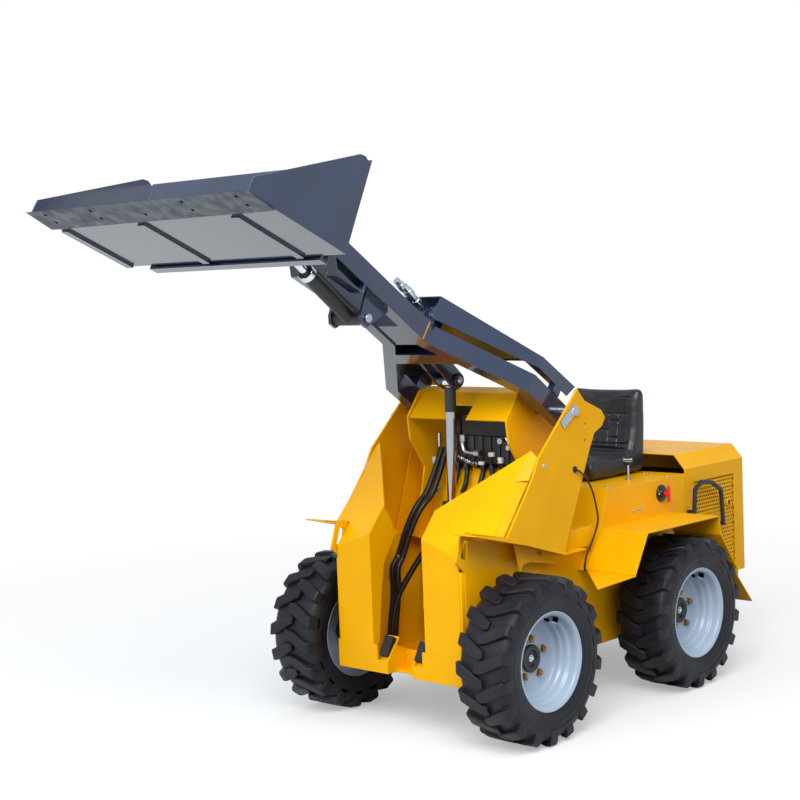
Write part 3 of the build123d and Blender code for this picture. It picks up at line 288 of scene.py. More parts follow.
# Bare mild steel of the cutting edge: ground bright, a little brown in patches
STEEL = Finish(
    "ground_mild_steel", "bare_steel", "#5A5F66", "#454A52", 40, (0.3, 0.5), Grain.BRUSHED, 1.0, 0.02, 1.0, edge_mm=1.0
)
# Black expanded vinyl over foam: soft highlights on a pebbled grain
VINYL = Finish(
    "black_seat_vinyl", "seat_vinyl", "#121318", "#191B21", 45, (0.3, 0.42), Grain.LEATHER, 1.6, 0.05, sheen=0.06,
    edge_mm=0.5,
)
# Injection-moulded plastic of the isolator's key: clear red, evenly glossy
RED = Finish(
    "red_moulded_plastic", "red_plastic", "#E0281E", "#D02018", 25, (0.3, 0.4), Grain.CAST, 0.9, 0.01, edge_mm=0.8
)
# Moulded black plastic of knobs and discs: glossier than the powder coat beside it
BLACK = Finish(
    "black_moulded_plastic", "frame_black", "#121316", "#191A1E", 25, (0.25, 0.36), Grain.CAST, 0.9, 0.01, edge_mm=0.8
)
# White nylon of plugs and rings: off-white and waxy
WHITE = Finish("white_nylon", "bare_steel", "#E9E9E4", "#DADAD4", 20, (0.35, 0.48), Grain.CAST, 0.9, 0.01, edge_mm=0.6)
# Painted iron of the engine: dark grey over a rough casting
IRON = Finish(
    "painted_cast_iron", "engine_iron", "#2A2C30", "#35383D", 60, (0.45, 0.6), Grain.CAST, 1.5, 0.15, edge_mm=3.0
)

# starts of the names of the CAD nodes that each finish goes on; the first that fits counts
CAD_FINISHES: dict[Finish, tuple[str, ...]] = {
    YELLOW: (
        "lower_frame", "guard_", "tower_left", "tower_right", "bulkhead", "visor_plate", "fender_", "seat_deck",
        "engine_hood",
    ),
    ENAMEL: ("boom_arms", "hose_guard", "coupler_frame", "bucket_shell"),
    STEEL: ("bucket_cutting_edge",),
    ZINC: ("boom_pivot_pins",),
    POWDER: (
        "valve_block", "lift_cylinder_barrel", "tilt_cylinder_barrel", "control_levers", "seat_base", "grab_handles",
        "wheel_motor",
    ),
    CHROME: ("lift_cylinder_rod", "tilt_cylinder_rod"),
    BLACK: ("isolator_switch",),
    STOP: ("rubber_stops",),
    IRON: ("engine_block",),
    VINYL: ("seat",),
    RIM_PAINT: ("rim",),
    TYRE: ("tyre",),
}


# ---------------------------------------------------------------- mesh tools
def link(name: str, data: bpy.types.ID) -> bpy.types.Object:
    """Put data into the scene.

    Args:
        name: The object's name.
        data: Its mesh, curve, camera or light.

    Returns:
        The new object.
    """
    made = bpy.data.objects.new(name, data)
    bpy.context.scene.collection.objects.link(made)
    return made


def mesh_object(name: str, bm: bmesh.types.BMesh) -> bpy.types.Object:
    """Make an object of a bmesh, with its faces turned outwards.

    Args:
        name: The object's name.
        bm: Its form, which is freed.

    Returns:
        The new object.
    """
    bmesh.ops.recalc_face_normals(bm, faces=bm.faces)
    data = bpy.data.meshes.new(name)
    bm.to_mesh(data)
    bm.free()
    return link(name, data)


def dress(
    piece: bpy.types.Object, body: str, finish: Finish, replaces: Sequence[str] = (), smooth_deg: float = 35.0
) -> bpy.types.Object:
    """Give a piece its finish, smooth its soft edges and let it ride on a body.

    Args:
        piece: The object, with its place in its mesh.
        body: The CAD body that it moves with.
        finish: Its finish, which names the record's material slot.
        replaces: CAD nodes that it stands for.
        smooth_deg: Edges sharper than this stay sharp.

    Returns:
        The same object.
    """
    piece.data.materials.clear()
    piece.data.materials.append(finish.material())
    if piece.type == "MESH":
        piece.data.shade_smooth()
        piece.data.set_sharp_from_angle(angle=math.radians(smooth_deg))
    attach(piece, body)
    if replaces:
        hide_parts(*replaces)
    return piece


def keep(piece: bpy.types.Object) -> None:
    """Turn a piece with modifiers into the plain mesh that they give.

    Args:
        piece: The object.
    """
    bpy.context.view_layer.update()
    shown = piece.evaluated_get(bpy.context.evaluated_depsgraph_get())
    result = bpy.data.meshes.new_from_object(shown)
    piece.modifiers.clear()
    piece.data = result


def bridge(bm: bmesh.types.BMesh, first: Sequence, second: Sequence) -> None:
    """Close the band between two rings of vertices with quads.

    Args:
        bm: The form that they are in.
        first: One ring.
        second: The other, with as many vertices.
    """
    for k in range(len(first)):
        m = (k + 1) % len(first)
        bm.faces.new((first[k], first[m], second[m], second[k]))


def loft(rings: Sequence[Sequence[Vector]]) -> bmesh.types.BMesh:
    """Make a body through closed rings of points.

    Args:
        rings: The rings in order, all of one count.

    Returns:
        The body, with a flat face at each end.
    """
    bm = bmesh.new()
    rows = [[bm.verts.new(point) for point in ring] for ring in rings]
    for first, second in zip(rows, rows[1:]):
        bridge(bm, first, second)
    bm.faces.new(rows[0][::-1])
    bm.faces.new(rows[-1])
    return bm


def sheet(outline: Sequence[Vector], depth: Vector) -> bmesh.types.BMesh:
    """Flat plate on an outline, as thick as the depth vector is long."""
    return loft([outline, [point + depth for point in outline]])


def lathe(profile: Sequence[Point], sides: int, closed: bool = False) -> bmesh.types.BMesh:
    """Make a body of revolution about the Y axis.

    Args:
        profile: Distance along the axis and radius of each point.
        sides: Number of sides.
        closed: Whether the last point joins the first.

    Returns:
        The body, in metres, with its poles closed.
    """
    bm = bmesh.new()
    rows = [[bm.verts.new(around(r, y, TAU * step / sides)) for y, r in profile] for step in range(sides)]
    last = len(profile) if closed else len(profile) - 1
    for step in range(sides):
        here, there = rows[step], rows[(step + 1) % sides]
        for i in range(last):
            j = (i + 1) % len(profile)
            bm.faces.new((here[i], here[j], there[j], there[i]))
    bmesh.ops.remove_doubles(bm, verts=bm.verts, dist=1e-6)
    return bm


def pillar(
    start: Vector, end: Vector, profile: Sequence[Point], sides: int = 32, closed: bool = False
) -> bmesh.types.BMesh:
    """Make a turned body that stands anywhere.

    Args:
        start: Where its distance 0 is.
        end: Any point that it runs towards.
        profile: Distance from the start and radius of each point.
        sides: Number of sides.
        closed: Whether the last point joins the first.

    Returns:
        The body.
    """
    bm = lathe(profile, sides, closed)
    turn = OUT[1].rotation_difference((end - start).normalized()).to_matrix().to_4x4()
    bm.transform(Matrix.Translation(start) @ turn)
    return bm


def box(low: Vector, high: Vector, round_mm: float = 1.0) -> bmesh.types.BMesh:
    """Make a block with rounded edges.

    Args:
        low: Its lowest corner.
        high: Its highest corner.
        round_mm: Radius of its edges.

    Returns:
        The block.
    """
    bm = bmesh.new()
    size, centre = high - low, (high + low) / 2
    bmesh.ops.create_cube(bm, size=1.0, matrix=Matrix.Translation(centre) @ Matrix.Diagonal((*size, 1.0)))
    bmesh.ops.bevel(
        bm, geom=bm.edges[:], offset=round_mm * MM, segments=2, profile=0.5, affect="EDGES", clamp_overlap=True
    )
    return bm


def tube(points: Sequence[Vector], radius_mm: float, sides: int = 12) -> bmesh.types.BMesh:
    """Make a round bar with closed ends.

    Args:
        points: Its middle line.
        radius_mm: Its radius.
        sides: Number of sides.

    Returns:
        The bar.
    """
    rings, up = [], None
    for i, here in enumerate(points):
        along = (points[min(i + 1, len(points) - 1)] - points[max(i - 1, 0)]).normalized()
        if up is None:
            up = along.orthogonal().normalized()
        up = (up - along * up.dot(along)).normalized()
        across = along.cross(up)
        turns = [TAU * k / sides for k in range(sides)]
        rings.append([here + (up * math.cos(turn) + across * math.sin(turn)) * radius_mm * MM for turn in turns])
    return loft(rings)


def curve_through(points: Sequence[Vector], steps: int = 8) -> list[Vector]:
    """Smooth the line of a bent pipe.

    Args:
        points: Points that it goes through.
        steps: Points for each run between two of them.

    Returns:
        The smooth line's points.
    """
    line = []
    for i in range(len(points) - 1):
        a, b, c, d = points[max(i - 1, 0)], points[i], points[i + 1], points[min(i + 2, len(points) - 1)]
        for step in range(steps):
            t = step / steps
            square = (2 * a - 5 * b + 4 * c - d) * t * t
            line.append(0.5 * (2 * b + (c - a) * t + square + (3 * b - a - 3 * c + d) * t**3))
    return line + [points[-1]]


def join(name: str, parts: Iterable[bmesh.types.BMesh]) -> bpy.types.Object:
    """Make one object of several forms.

    Args:
        name: The object's name.
        parts: The forms, each of which gets its faces turned outwards.

    Returns:
        The object.
    """
    whole = bmesh.new()
    for part in parts:
        bmesh.ops.recalc_face_normals(part, faces=part.faces)
        data = bpy.data.meshes.new("part")
        part.to_mesh(data)
        part.free()
        whole.from_mesh(data)
        bpy.data.meshes.remove(data)
    return mesh_object(name, whole)


# ---------------------------------------------------------------- geometry nodes
class NodeTool:
    """A geometry-node tree with named inputs, used as a modifier and turned to a plain mesh."""

    def __init__(self, name: str, **inputs: str) -> None:
        """Start the tree.

        Args:
            name: The tree's name.
            inputs: Kind of each input after the geometry, by its name with _ for a space.
        """
        self.tree = bpy.data.node_groups.new(name, "GeometryNodeTree")
        face = self.tree.interface
        for label, kind in {"Geometry": "Geometry", **inputs, "Material": "Material"}.items():
            face.new_socket(label.replace("_", " "), in_out="INPUT", socket_type="NodeSocket" + kind)
        face.new_socket("Geometry", in_out="OUTPUT", socket_type="NodeSocketGeometry")
        self.add = partial(add_node, self.tree)
        self.given = self.add("NodeGroupInput").outputs

    def scatter(
        self, points: bpy.types.NodeSocket, template: bpy.types.NodeSocket, **more: bpy.types.NodeSocket
    ) -> None:
        """End the tree in real copies of a template, with their material.

        Args:
            points: Where the copies go.
            template: What is copied.
            more: Other inputs of the copies by name, such as Rotation.
        """
        copies = self.add("GeometryNodeInstanceOnPoints", {"Points": points, "Instance": template, **more})
        real = self.add("GeometryNodeRealizeInstances", {0: copies.outputs[0]})
        clad = self.add("GeometryNodeSetMaterial", {"Geometry": real.outputs[0], "Material": self.given["Material"]})
        self.add("NodeGroupOutput", {0: clad.outputs[0]})

    def apply(self, piece: bpy.types.Object, finish: Finish, **values: float) -> None:
        """Run the tree on a piece and keep the result as its plain mesh.

        Args:
            piece: The object whose mesh goes in.
            finish: The finish of what comes out.
            values: Inputs by name, with _ for a space.
        """
        modifier = piece.modifiers.new("nodes", "NODES")
        modifier.node_group = self.tree
        wanted = {key.replace("_", " "): value for key, value in values.items()}
        wanted["Material"] = finish.material()
        for item in self.tree.interface.items_tree:
            if item.in_out == "INPUT" and item.name in wanted:
                modifier[item.identifier] = wanted[item.name]
        keep(piece)


class RingRepeat(NodeTool):
    """Repeats a template round the Y axis."""

    def __init__(self) -> None:
        """Build the tree: a point for each copy, turned by its number."""
        super().__init__("ring_repeat", Count="Int", Start="Float")
        count = self.given["Count"]
        points = self.add("GeometryNodePoints", {"Count": count})
        index = self.add("GeometryNodeInputIndex").outputs[0]
        share = self.add("ShaderNodeMath", {"operation": "DIVIDE", 0: TAU, 1: count}).outputs[0]
        sum_up = {"operation": "MULTIPLY_ADD", 0: index, 1: share, 2: self.given["Start"]}
        euler = self.add("ShaderNodeCombineXYZ", {"Y": self.add("ShaderNodeMath", sum_up).outputs[0]})
        rotation = self.add("FunctionNodeEulerToRotation", {0: euler.outputs[0]})
        self.scatter(points.outputs[0], self.given["Geometry"], Rotation=rotation.outputs[0])


class Fasteners(NodeTool):
    """Sets a headed bolt, with its washer, on each point, along the point's facing attribute."""

    def __init__(self) -> None:
        """Build the tree: head and washer from primitives, on points turned along facing."""
        super().__init__("fasteners", Sides="Int", Head_Radius="Float", Head_Height="Float")
        sides, radius, height = (self.given[label] for label in ("Sides", "Head Radius", "Head Height"))
        scaled = []
        # shares of the head's height for its shank and crown, and of its radius for its top and its washer
        for size, share in ((height, 0.7), (height, 0.35), (height, 0.3), (radius, 0.8), (radius, 1.45)):
            scaled.append(self.add("ShaderNodeMath", {"operation": "MULTIPLY", 0: size, 1: share}).outputs[0])
        shank, half_shank, crown, chamfer, washer_r = scaled
        washer = {"Vertices": 20, "Depth": 3 * MM, "Radius": washer_r}
        parts = [self.add("GeometryNodeMeshCylinder", washer)]
        drum = self.add("GeometryNodeMeshCylinder", {"Vertices": sides, "Radius": radius, "Depth": shank})
        top = {"Vertices": sides, "Radius Top": chamfer, "Radius Bottom": radius, "Depth": crown}
        for solid, lift in ((drum, half_shank), (self.add("GeometryNodeMeshCone", top), shank)):
            up = self.add("ShaderNodeCombineXYZ", {"Z": lift}).outputs[0]
            parts.append(self.add("GeometryNodeTransform", {"Geometry": solid.outputs[0], "Translation": up}))
        head = self.add("GeometryNodeJoinGeometry")
        for part in parts:
            self.tree.links.new(part.outputs[0], head.inputs[0])
        facing = self.add("GeometryNodeInputNamedAttribute", {"data_type": "FLOAT_VECTOR", "Name": "facing"})
        turn = self.add("FunctionNodeAlignRotationToVector", {"axis": "Z", "Vector": facing.outputs[0]})
        self.scatter(self.given["Geometry"], head.outputs[0], Rotation=turn.outputs[0])

    def set(
        self,
        name: str,
        places: Sequence[tuple[Vector, Vector]],
        body: str,
        radius_mm: float,
        height_mm: float,
        sides: int = 6,
    ) -> None:
        """Set zinc-plated bolts of one size on one body.

        Args:
            name: The piece's name.
            places: Seat and outward direction of each head.
            body: The body they ride on.
            radius_mm: Radius of the head.
            height_mm: Height of the head.
            sides: 6 for a hexagon head, more for a button head.
        """
        data = bpy.data.meshes.new(name)
        data.from_pydata([tuple(seat) for seat, _ in places], [], [])
        facing = data.attributes.new("facing", "FLOAT_VECTOR", "POINT")
        facing.data.foreach_set("vector", [c for _, out in places for c in out.normalized()])
        piece = link(name, data)
        self.apply(piece, ZINC, Sides=sides, Head_Radius=radius_mm * MM, Head_Height=height_mm * MM)
        dress(piece, body, ZINC)


class Perforation(NodeTool):
    """Lays a template cell over a staggered grid in the XZ plane."""

    def __init__(self) -> None:
        """Build the tree: a grid of points, every other row moved by half a pitch."""
        super().__init__("perforation", Columns="Int", Rows="Int", Pitch="Float", Centre="Vector")
        columns, rows, pitch, centre = (self.given[label] for label in ("Columns", "Rows", "Pitch", "Centre"))
        reach = []
        for count in (columns, rows):
            steps = self.add("ShaderNodeMath", {"operation": "SUBTRACT", 0: count, 1: 1.0}).outputs[0]
            reach.append(self.add("ShaderNodeMath", {"operation": "MULTIPLY", 0: steps, 1: pitch}).outputs[0])
        sizes = {"Size X": reach[0], "Size Y": reach[1], "Vertices X": columns, "Vertices Y": rows}
        grid = self.add("GeometryNodeMeshGrid", sizes)
        position = self.add("GeometryNodeInputPosition")
        flat = self.add("ShaderNodeSeparateXYZ", {0: position.outputs[0]}).outputs
        # whether a row is odd, from its number, which an even 100 makes positive and a quarter keeps off the limits
        odd_row = (("DIVIDE", pitch), ("ADD", 100.25), ("MODULO", 2.0), ("GREATER_THAN", 1.0))
        x = flat["Y"]
        for operation, value in (*odd_row, ("MULTIPLY", pitch), ("MULTIPLY", 0.5), ("ADD", flat["X"])):
            x = self.add("ShaderNodeMath", {"operation": operation, 0: x, 1: value}).outputs[0]
        upright = self.add("ShaderNodeCombineXYZ", {"X": x, "Z": flat["Y"]})
        placed = self.add("ShaderNodeVectorMath", {"operation": "ADD", 0: upright.outputs[0], 1: centre})
        moved = self.add("GeometryNodeSetPosition", {"Geometry": grid.outputs[0], "Position": placed.outputs[0]})
        self.scatter(moved.outputs[0], self.given["Geometry"])


RING = RingRepeat()
BOLTS = Fasteners()
PANEL = Perforation()


# ---------------------------------------------------------------- stage
@dataclass
class Studio:
    """Camera, soft lights and a pale floor."""

    lens_mm: float = 71.62
    sensor_mm: float = 36.0
    yaw_deg: float = 222.523
    pitch_deg: float = -4.215
    roll_deg: float = -2.241
    stand: Place = (4703.4, 3777.0, 1589.9)
    white: tuple[float, float, float, float] = (1.0, 1.0, 1.0, 1.0)
    # colour and strength of the light from all round
    sky: tuple[float, float, float, float] = (0.86, 0.93, 1.0, 1.0)
    sky_strength: float = 0.78
    # radius of the floor, and the distances from which it starts to fade and is white, in metres
    floor_r: float = 40.0
    fade: Point = (1.6, 4.5)
    # name, place, target and side of each soft box, in metres, and its power in watts
    soft_boxes: Sequence[tuple[str, Place, Place, float, float]] = (
        ("key", (3.9, 3.1, 5.2), (0.0, 0.0, 0.7), 4.0, 430.0),
        ("front", (6.0, -1.5, 3.0), (0.2, 0.0, 0.8), 3.0, 110.0),
    )

    def camera(self) -> None:
        """Camera at the photograph's angle."""
        yaw, pitch, roll = (math.radians(a) for a in (self.yaw_deg, self.pitch_deg, self.roll_deg))
        ahead = Vector((math.cos(pitch) * math.cos(yaw), math.cos(pitch) * math.sin(yaw), math.sin(pitch)))
        level = ahead.cross(UP).normalized()
        upright = level.cross(ahead)
        right = level * math.cos(roll) + upright * math.sin(roll)
        above = upright * math.cos(roll) - level * math.sin(roll)
        data = bpy.data.cameras.new("camera")
        data.lens, data.sensor_width = self.lens_mm, self.sensor_mm
        eye = link("camera", data)
        eye.matrix_world = Matrix.Translation(at(*self.stand)) @ Matrix((right, above, -ahead)).transposed().to_4x4()
        bpy.context.scene.camera = eye

    def lamp(self, name: str, place: Place, target: Place, size: float, power: float) -> None:
        """Set up a square soft box.

        Args:
            name: The lamp's name.
            place: Where it stands, in metres.
            target: The point that it is aimed at, in metres.
            size: Length of its side, in metres.
            power: Its power in watts.
        """
        data = bpy.data.lights.new(name, "AREA")
        data.shape, data.size, data.energy = "SQUARE", size, power
        lamp = link(name, data)
        lamp.location = place
        lamp.rotation_euler = (Vector(target) - Vector(place)).to_track_quat("-Z", "Y").to_euler()

    def world(self) -> None:
        """White surroundings: plain to the camera, softer as a light."""
        world = bpy.data.worlds.new("studio")
        bpy.context.scene.world = world
        add = fresh_tree(world)
        path = add("ShaderNodeLightPath").outputs
        seen = add("ShaderNodeMath", {"operation": "MAXIMUM", 0: path["Is Camera Ray"], 1: path["Is Transmission Ray"]})
        light = add("ShaderNodeBackground", {"Color": self.sky, "Strength": self.sky_strength})
        plain = add("ShaderNodeBackground", {"Color": self.white, "Strength": 1.0})
        mixed = add("ShaderNodeMixShader", {0: seen.outputs[0], 1: light.outputs[0], 2: plain.outputs[0]})
        add("ShaderNodeOutputWorld", {"Surface": mixed.outputs[0]})

    def floor(self) -> None:
        """Pale floor that keeps the shadow and fades to white far from the machine."""
        bm = bmesh.new()
        bmesh.ops.create_circle(bm, cap_ends=True, radius=self.floor_r, segments=64)
        made = mesh_object("floor", bm)
        surface = bpy.data.materials.new("pale_studio_floor")
        add = fresh_tree(surface)
        place = add("ShaderNodeTexCoord").outputs["Object"]
        away = add("ShaderNodeVectorMath", {"operation": "LENGTH", 0: place}).outputs["Value"]
        near, far = self.fade
        fade = add("ShaderNodeMapRange", {0: away, 1: near, 2: far, 3: 0.35, 4: 1.0}).outputs[0]
        path = add("ShaderNodeLightPath").outputs
        seen = add("ShaderNodeMath", {"operation": "MULTIPLY", 0: fade, 1: path["Is Camera Ray"]})
        grain = add("ShaderNodeTexNoise", {"Scale": 60.0, "Detail": 3.0, "Vector": place}).outputs[0]
        tone = add("ShaderNodeMix", {"data_type": "RGBA", 0: grain, 6: linear("#EDEDEC"), 7: linear("#F3F3F2")})
        # a duller ground for the light that it throws back, as under an open sky
        mirrored = add("ShaderNodeMath", {"operation": "MAXIMUM", 0: path["Is Camera Ray"], 1: path["Is Glossy Ray"]})
        duller = {"data_type": "RGBA", 0: mirrored.outputs[0], 6: linear("#7C7B79"), 7: tone.outputs[2]}
        matt = add("ShaderNodeBsdfDiffuse", {"Color": add("ShaderNodeMix", duller).outputs[2]})
        white = add("ShaderNodeEmission", {"Color": self.white, "Strength": 1.0})
        mixed = add("ShaderNodeMixShader", {0: seen.outputs[0], 1: matt.outputs[0], 2: white.outputs[0]})
        add("ShaderNodeOutputMaterial", {"Surface": mixed.outputs[0]})
        made.data.materials.append(surface)

    def build(self) -> None:
        """Everything around the machine."""
        bpy.context.scene.view_settings.view_transform = "Standard"
        self.camera()
        self.world()
        self.floor()
        for soft_box in self.soft_boxes:
            self.lamp(*soft_box)
        log.info("studio: camera, world, floor and %d soft boxes", len(self.soft_boxes))


# ---------------------------------------------------------------- cords
@dataclass
class Cords:
    """Hydraulic hoses in the front bay and the cable outside the left tower."""

    hose_mm: float = 22.0
    cable_mm: float = 7.0
    # real lengths in metres
    lengths: dict[str, float] = field(
        default_factory=lambda: {"bay_hose_1": 0.8258, "bay_hose_2": 0.8341, "bay_hose_3": 0.484, "tower_cable": 0.4967}
    )
    routes: dict[str, list[Place]] = field(
        default_factory=lambda: {
            "bay_hose_1": [
                (142, -198, 958), (200, -216, 803), (275, -224, 747), (310, -244, 669), (335, -272, 553),
                (372, -273, 524), (362, -271, 441), (392, -276, 270), (392, -276, 208),
            ],
            "bay_hose_2": [
                (150, -168, 958), (230, -161, 798), (300, -171, 754), (335, -196, 676), (365, -218, 563),
                (400, -218, 530), (390, -219, 451), (420, -223, 282), (420, -223, 208),
            ],
            "bay_hose_3": [
                (385, -57, 643), (385, -100, 594), (410, -162, 495), (430, -203, 413), (450, -214, 289),
                (450, -214, 208),
            ],
            "tower_cable": [
                (115, 404, 899), (115, 418, 899), (62, 414, 866), (10, 402, 815), (-30, 388, 755),
                (-70, 370, 690), (-62, 358, 640), (-40, 348, 590), (-14, 341, 545), (-14, 341, 504),
            ],
        }
    )

    def lay(self, name: str) -> None:
        """Lay one cord as a smooth spline on its CAD route.

        Args:
            name: The cord's CAD node.
        """
        places = [at(*p) for p in self.routes[name]]
        data = bpy.data.curves.new(name, "CURVE")
        data.dimensions = "3D"
        spline = data.splines.new("NURBS")
        spline.points.add(len(places) - 1)
        for point, place in zip(spline.points, places):
            point.co = (*place, 1.0)
        spline.order_u = 3
        spline.use_endpoint_u = True
        spline.resolution_u = 12
        diameter = (self.cable_mm if name == "tower_cable" else self.hose_mm) * MM
        data.bevel_depth = diameter / 2
        data.bevel_resolution = 4
        data.use_fill_caps = True
        cord = dress(link(name + "_cord", data), "chassis", HOSE, [name])

    def build(self) -> None:
        """All cords."""
        for name in self.routes:
            self.lay(name)
        log.info("cords: %s", ", ".join(self.routes))


# ---------------------------------------------------------------- wheels
@dataclass
class Wheel:
    """Tyre with bar tread on a dished rim, for one corner."""

    corner: str
    hand: int
    sides: int = 108
    lugs: int = 18
    studs: int = 5
    base_r: float = 273.0
    stud_r: float = 69.85
    disc_y: float = -4.0
    # across a lug, shares of its half width: its root, under its chamfer, its top, and down again
    lug_steps: Sequence[float] = (-1.12, -1.0, -0.86, 0.86, 1.0, 1.12)
    lug_chamfer: float = 3.0
    lug_sunk: float = 4.0
    # how far along the axle a lug may reach, inwards and outwards
    lug_ends: Point = (-40.0, 102.8)
    # a lug's middle line: distance outwards along the axle, distance round the tyre, half width, radius of its top
    lug_line: Sequence[tuple[float, float, float, float]] = (
        (-16.0, -28.0, 13.0, 288.5), (-4.0, -29.0, 17.0, 290.0), (14.0, -23.0, 19.0, 290.0),
        (36.0, -12.0, 20.0, 290.0), (58.0, -1.0, 20.5, 290.0), (78.0, 9.0, 20.5, 289.6), (92.0, 13.0, 20.0, 287.5),
        (99.0, 13.5, 19.5, 281.0), (102.4, 13.8, 19.0, 268.0), (102.6, 14.0, 18.0, 252.0),
    )
    # the first of these points from which the lug runs straight out over the shoulder
    shoulder: int = 6
    # half the tyre's section: distance from its middle, radius; the first eight are under the tread
    section: Sequence[Point] = (
        (0.0, 274.0), (30.0, 273.8), (60.0, 272.5), (80.0, 269.0), (92.0, 262.0), (99.0, 250.0), (102.2, 238.0),
        (102.6, 232.0), (100.8, 229.0), (101.8, 222.0), (101.6, 212.0), (100.2, 204.0), (98.4, 200.0), (98.8, 196.0),
        (97.0, 188.0), (94.8, 181.0), (93.5, 176.0), (92.0, 172.5), (86.0, 168.0), (70.0, 160.0),
    )
    # the rim's outboard face, then its back: distance along the axle, radius
    rim_section: Sequence[Point] = (
        (88.0, 171.0), (91.0, 171.6), (92.4, 170.2), (92.0, 167.5), (90.0, 164.0), (87.5, 159.5), (84.0, 156.0),
        (79.0, 154.0), (62.0, 152.4), (57.0, 151.4), (53.5, 148.8), (50.0, 145.0), (46.0, 143.0), (33.0, 141.6),
        (29.0, 140.0), (25.5, 136.5), (21.0, 134.6), (8.0, 133.4), (3.5, 131.0), (0.0, 126.0), (-2.6, 118.0),
        (-4.0, 108.0), (-4.0, 60.0), (-4.0, 30.0), (-9.5, 30.0), (-9.5, 108.0), (-9.5, 137.0), (-30.0, 138.0),
        (-42.0, 156.4), (-82.0, 158.4), (-90.0, 166.0), (-92.0, 171.0), (-88.0, 172.0), (-84.0, 166.0),
        (-80.0, 161.5), (-40.0, 160.4), (-28.0, 142.0), (20.0, 141.0), (32.0, 145.0), (52.0, 152.0), (60.0, 156.5),
        (80.0, 158.5), (84.0, 162.0),
    )
    # the valve's strap: distance along the axle and outer radius of its folds, half its width, gauge and angle
    strap: Sequence[Point] = ((70, 153), (70, 136), (64, 131), (42, 131), (34, 136), (34, 144))
    strap_half: float = 17.0
    strap_gauge: float = 2.5
    strap_deg: float = 112.0
    valve_deg: float = 118.0

    def place(self) -> Matrix:
        """From the wheel's own frame, outboard along +Y, to the shared frame."""
        spin = Matrix.Rotation(0 if self.hand > 0 else math.pi, 4, "Z")
        return Matrix.Translation(middle("tyre_" + self.corner)) @ spin

    def body(self) -> str:
        """The CAD body of this wheel."""
        return "wheel_" + self.corner

    def lug(self, hand: int, start: float) -> bmesh.types.BMesh:
        """One tread bar: chamfered, narrower at its top, running down over the shoulder.

        Args:
            hand: +1 on the outboard half, -1 on the inboard half.
            start: Angle of the bar round the tyre.

        Returns:
            The bar's bmesh in the wheel's frame.
        """
        rings = []
        tread = list(zip(*self.section[:8]))
        for i, (y, s, half, top) in enumerate(self.lug_line):
            before, after = self.lug_line[max(i - 1, 0)], self.lug_line[min(i + 1, len(self.lug_line) - 1)]
            along = Vector((after[0] - before[0], after[1] - before[1])).normalized()
            if i >= self.shoulder:
                along = Vector((1.0, 0.0))
            root = min(float(np.interp(abs(y), *tread)), top) - self.lug_sunk
            flank = top - self.lug_chamfer
            rings.append([])
            for share, radius in zip(self.lug_steps, (root, flank, top, top, flank, root)):
                out = max(self.lug_ends[0], min(y - along.y * share * half, self.lug_ends[1]))
                rings[-1].append(around(radius, hand * out, start + (s + along.x * share * half) / self.base_r))
        return loft(rings)

    def tyre(self) -> None:
        """Carcass, tread bars and the ribs on its sides."""
        pitch = TAU / self.lugs
        template = join("lugs", [self.lug(1, 0.0), self.lug(-1, pitch / 2)])
        RING.apply(template, TYRE, Count=self.lugs, Start=math.radians(90))
        profile = [*self.section[::-1], *((-y, r) for y, r in self.section[1:])]
        carcass = lathe(profile, self.sides)
        carcass.from_mesh(template.data)
        bpy.data.objects.remove(template)
        carcass.transform(self.place())
        piece = mesh_object("bar_tread_tyre_" + self.corner, carcass)
        dress(piece, self.body(), TYRE, ["tyre_" + self.corner], 32)

    def rim(self) -> None:
        """Stepped barrel, disc with its stud seats, and the strap that shields the valve."""
        parts = [lathe(self.rim_section, self.sides, closed=True)]
        for k in range(self.studs):
            seat = lathe([(0.0, 17.0), (2.2, 15.0), (2.2, 8.0), (0.0, 8.0)], 24)
            turn = math.radians(90 + 360 / self.studs * k)
            seat.transform(Matrix.Translation(around(self.stud_r, self.disc_y, turn)))
            parts.append(seat)
        folds = []
        for y, r in self.strap:
            lean, spread = math.radians(self.strap_deg), self.strap_half / r
            corners = ((-1, 0.0), (-1, self.strap_gauge), (1, self.strap_gauge), (1, 0.0))
            folds.append([around(r - deep, y, lean + side * spread) for side, deep in corners])
        piece = join("dished_rim_" + self.corner, [*parts, loft(folds)])
        piece.data.transform(self.place())
        dress(piece, self.body(), RIM_PAINT, ["rim_" + self.corner], 40)

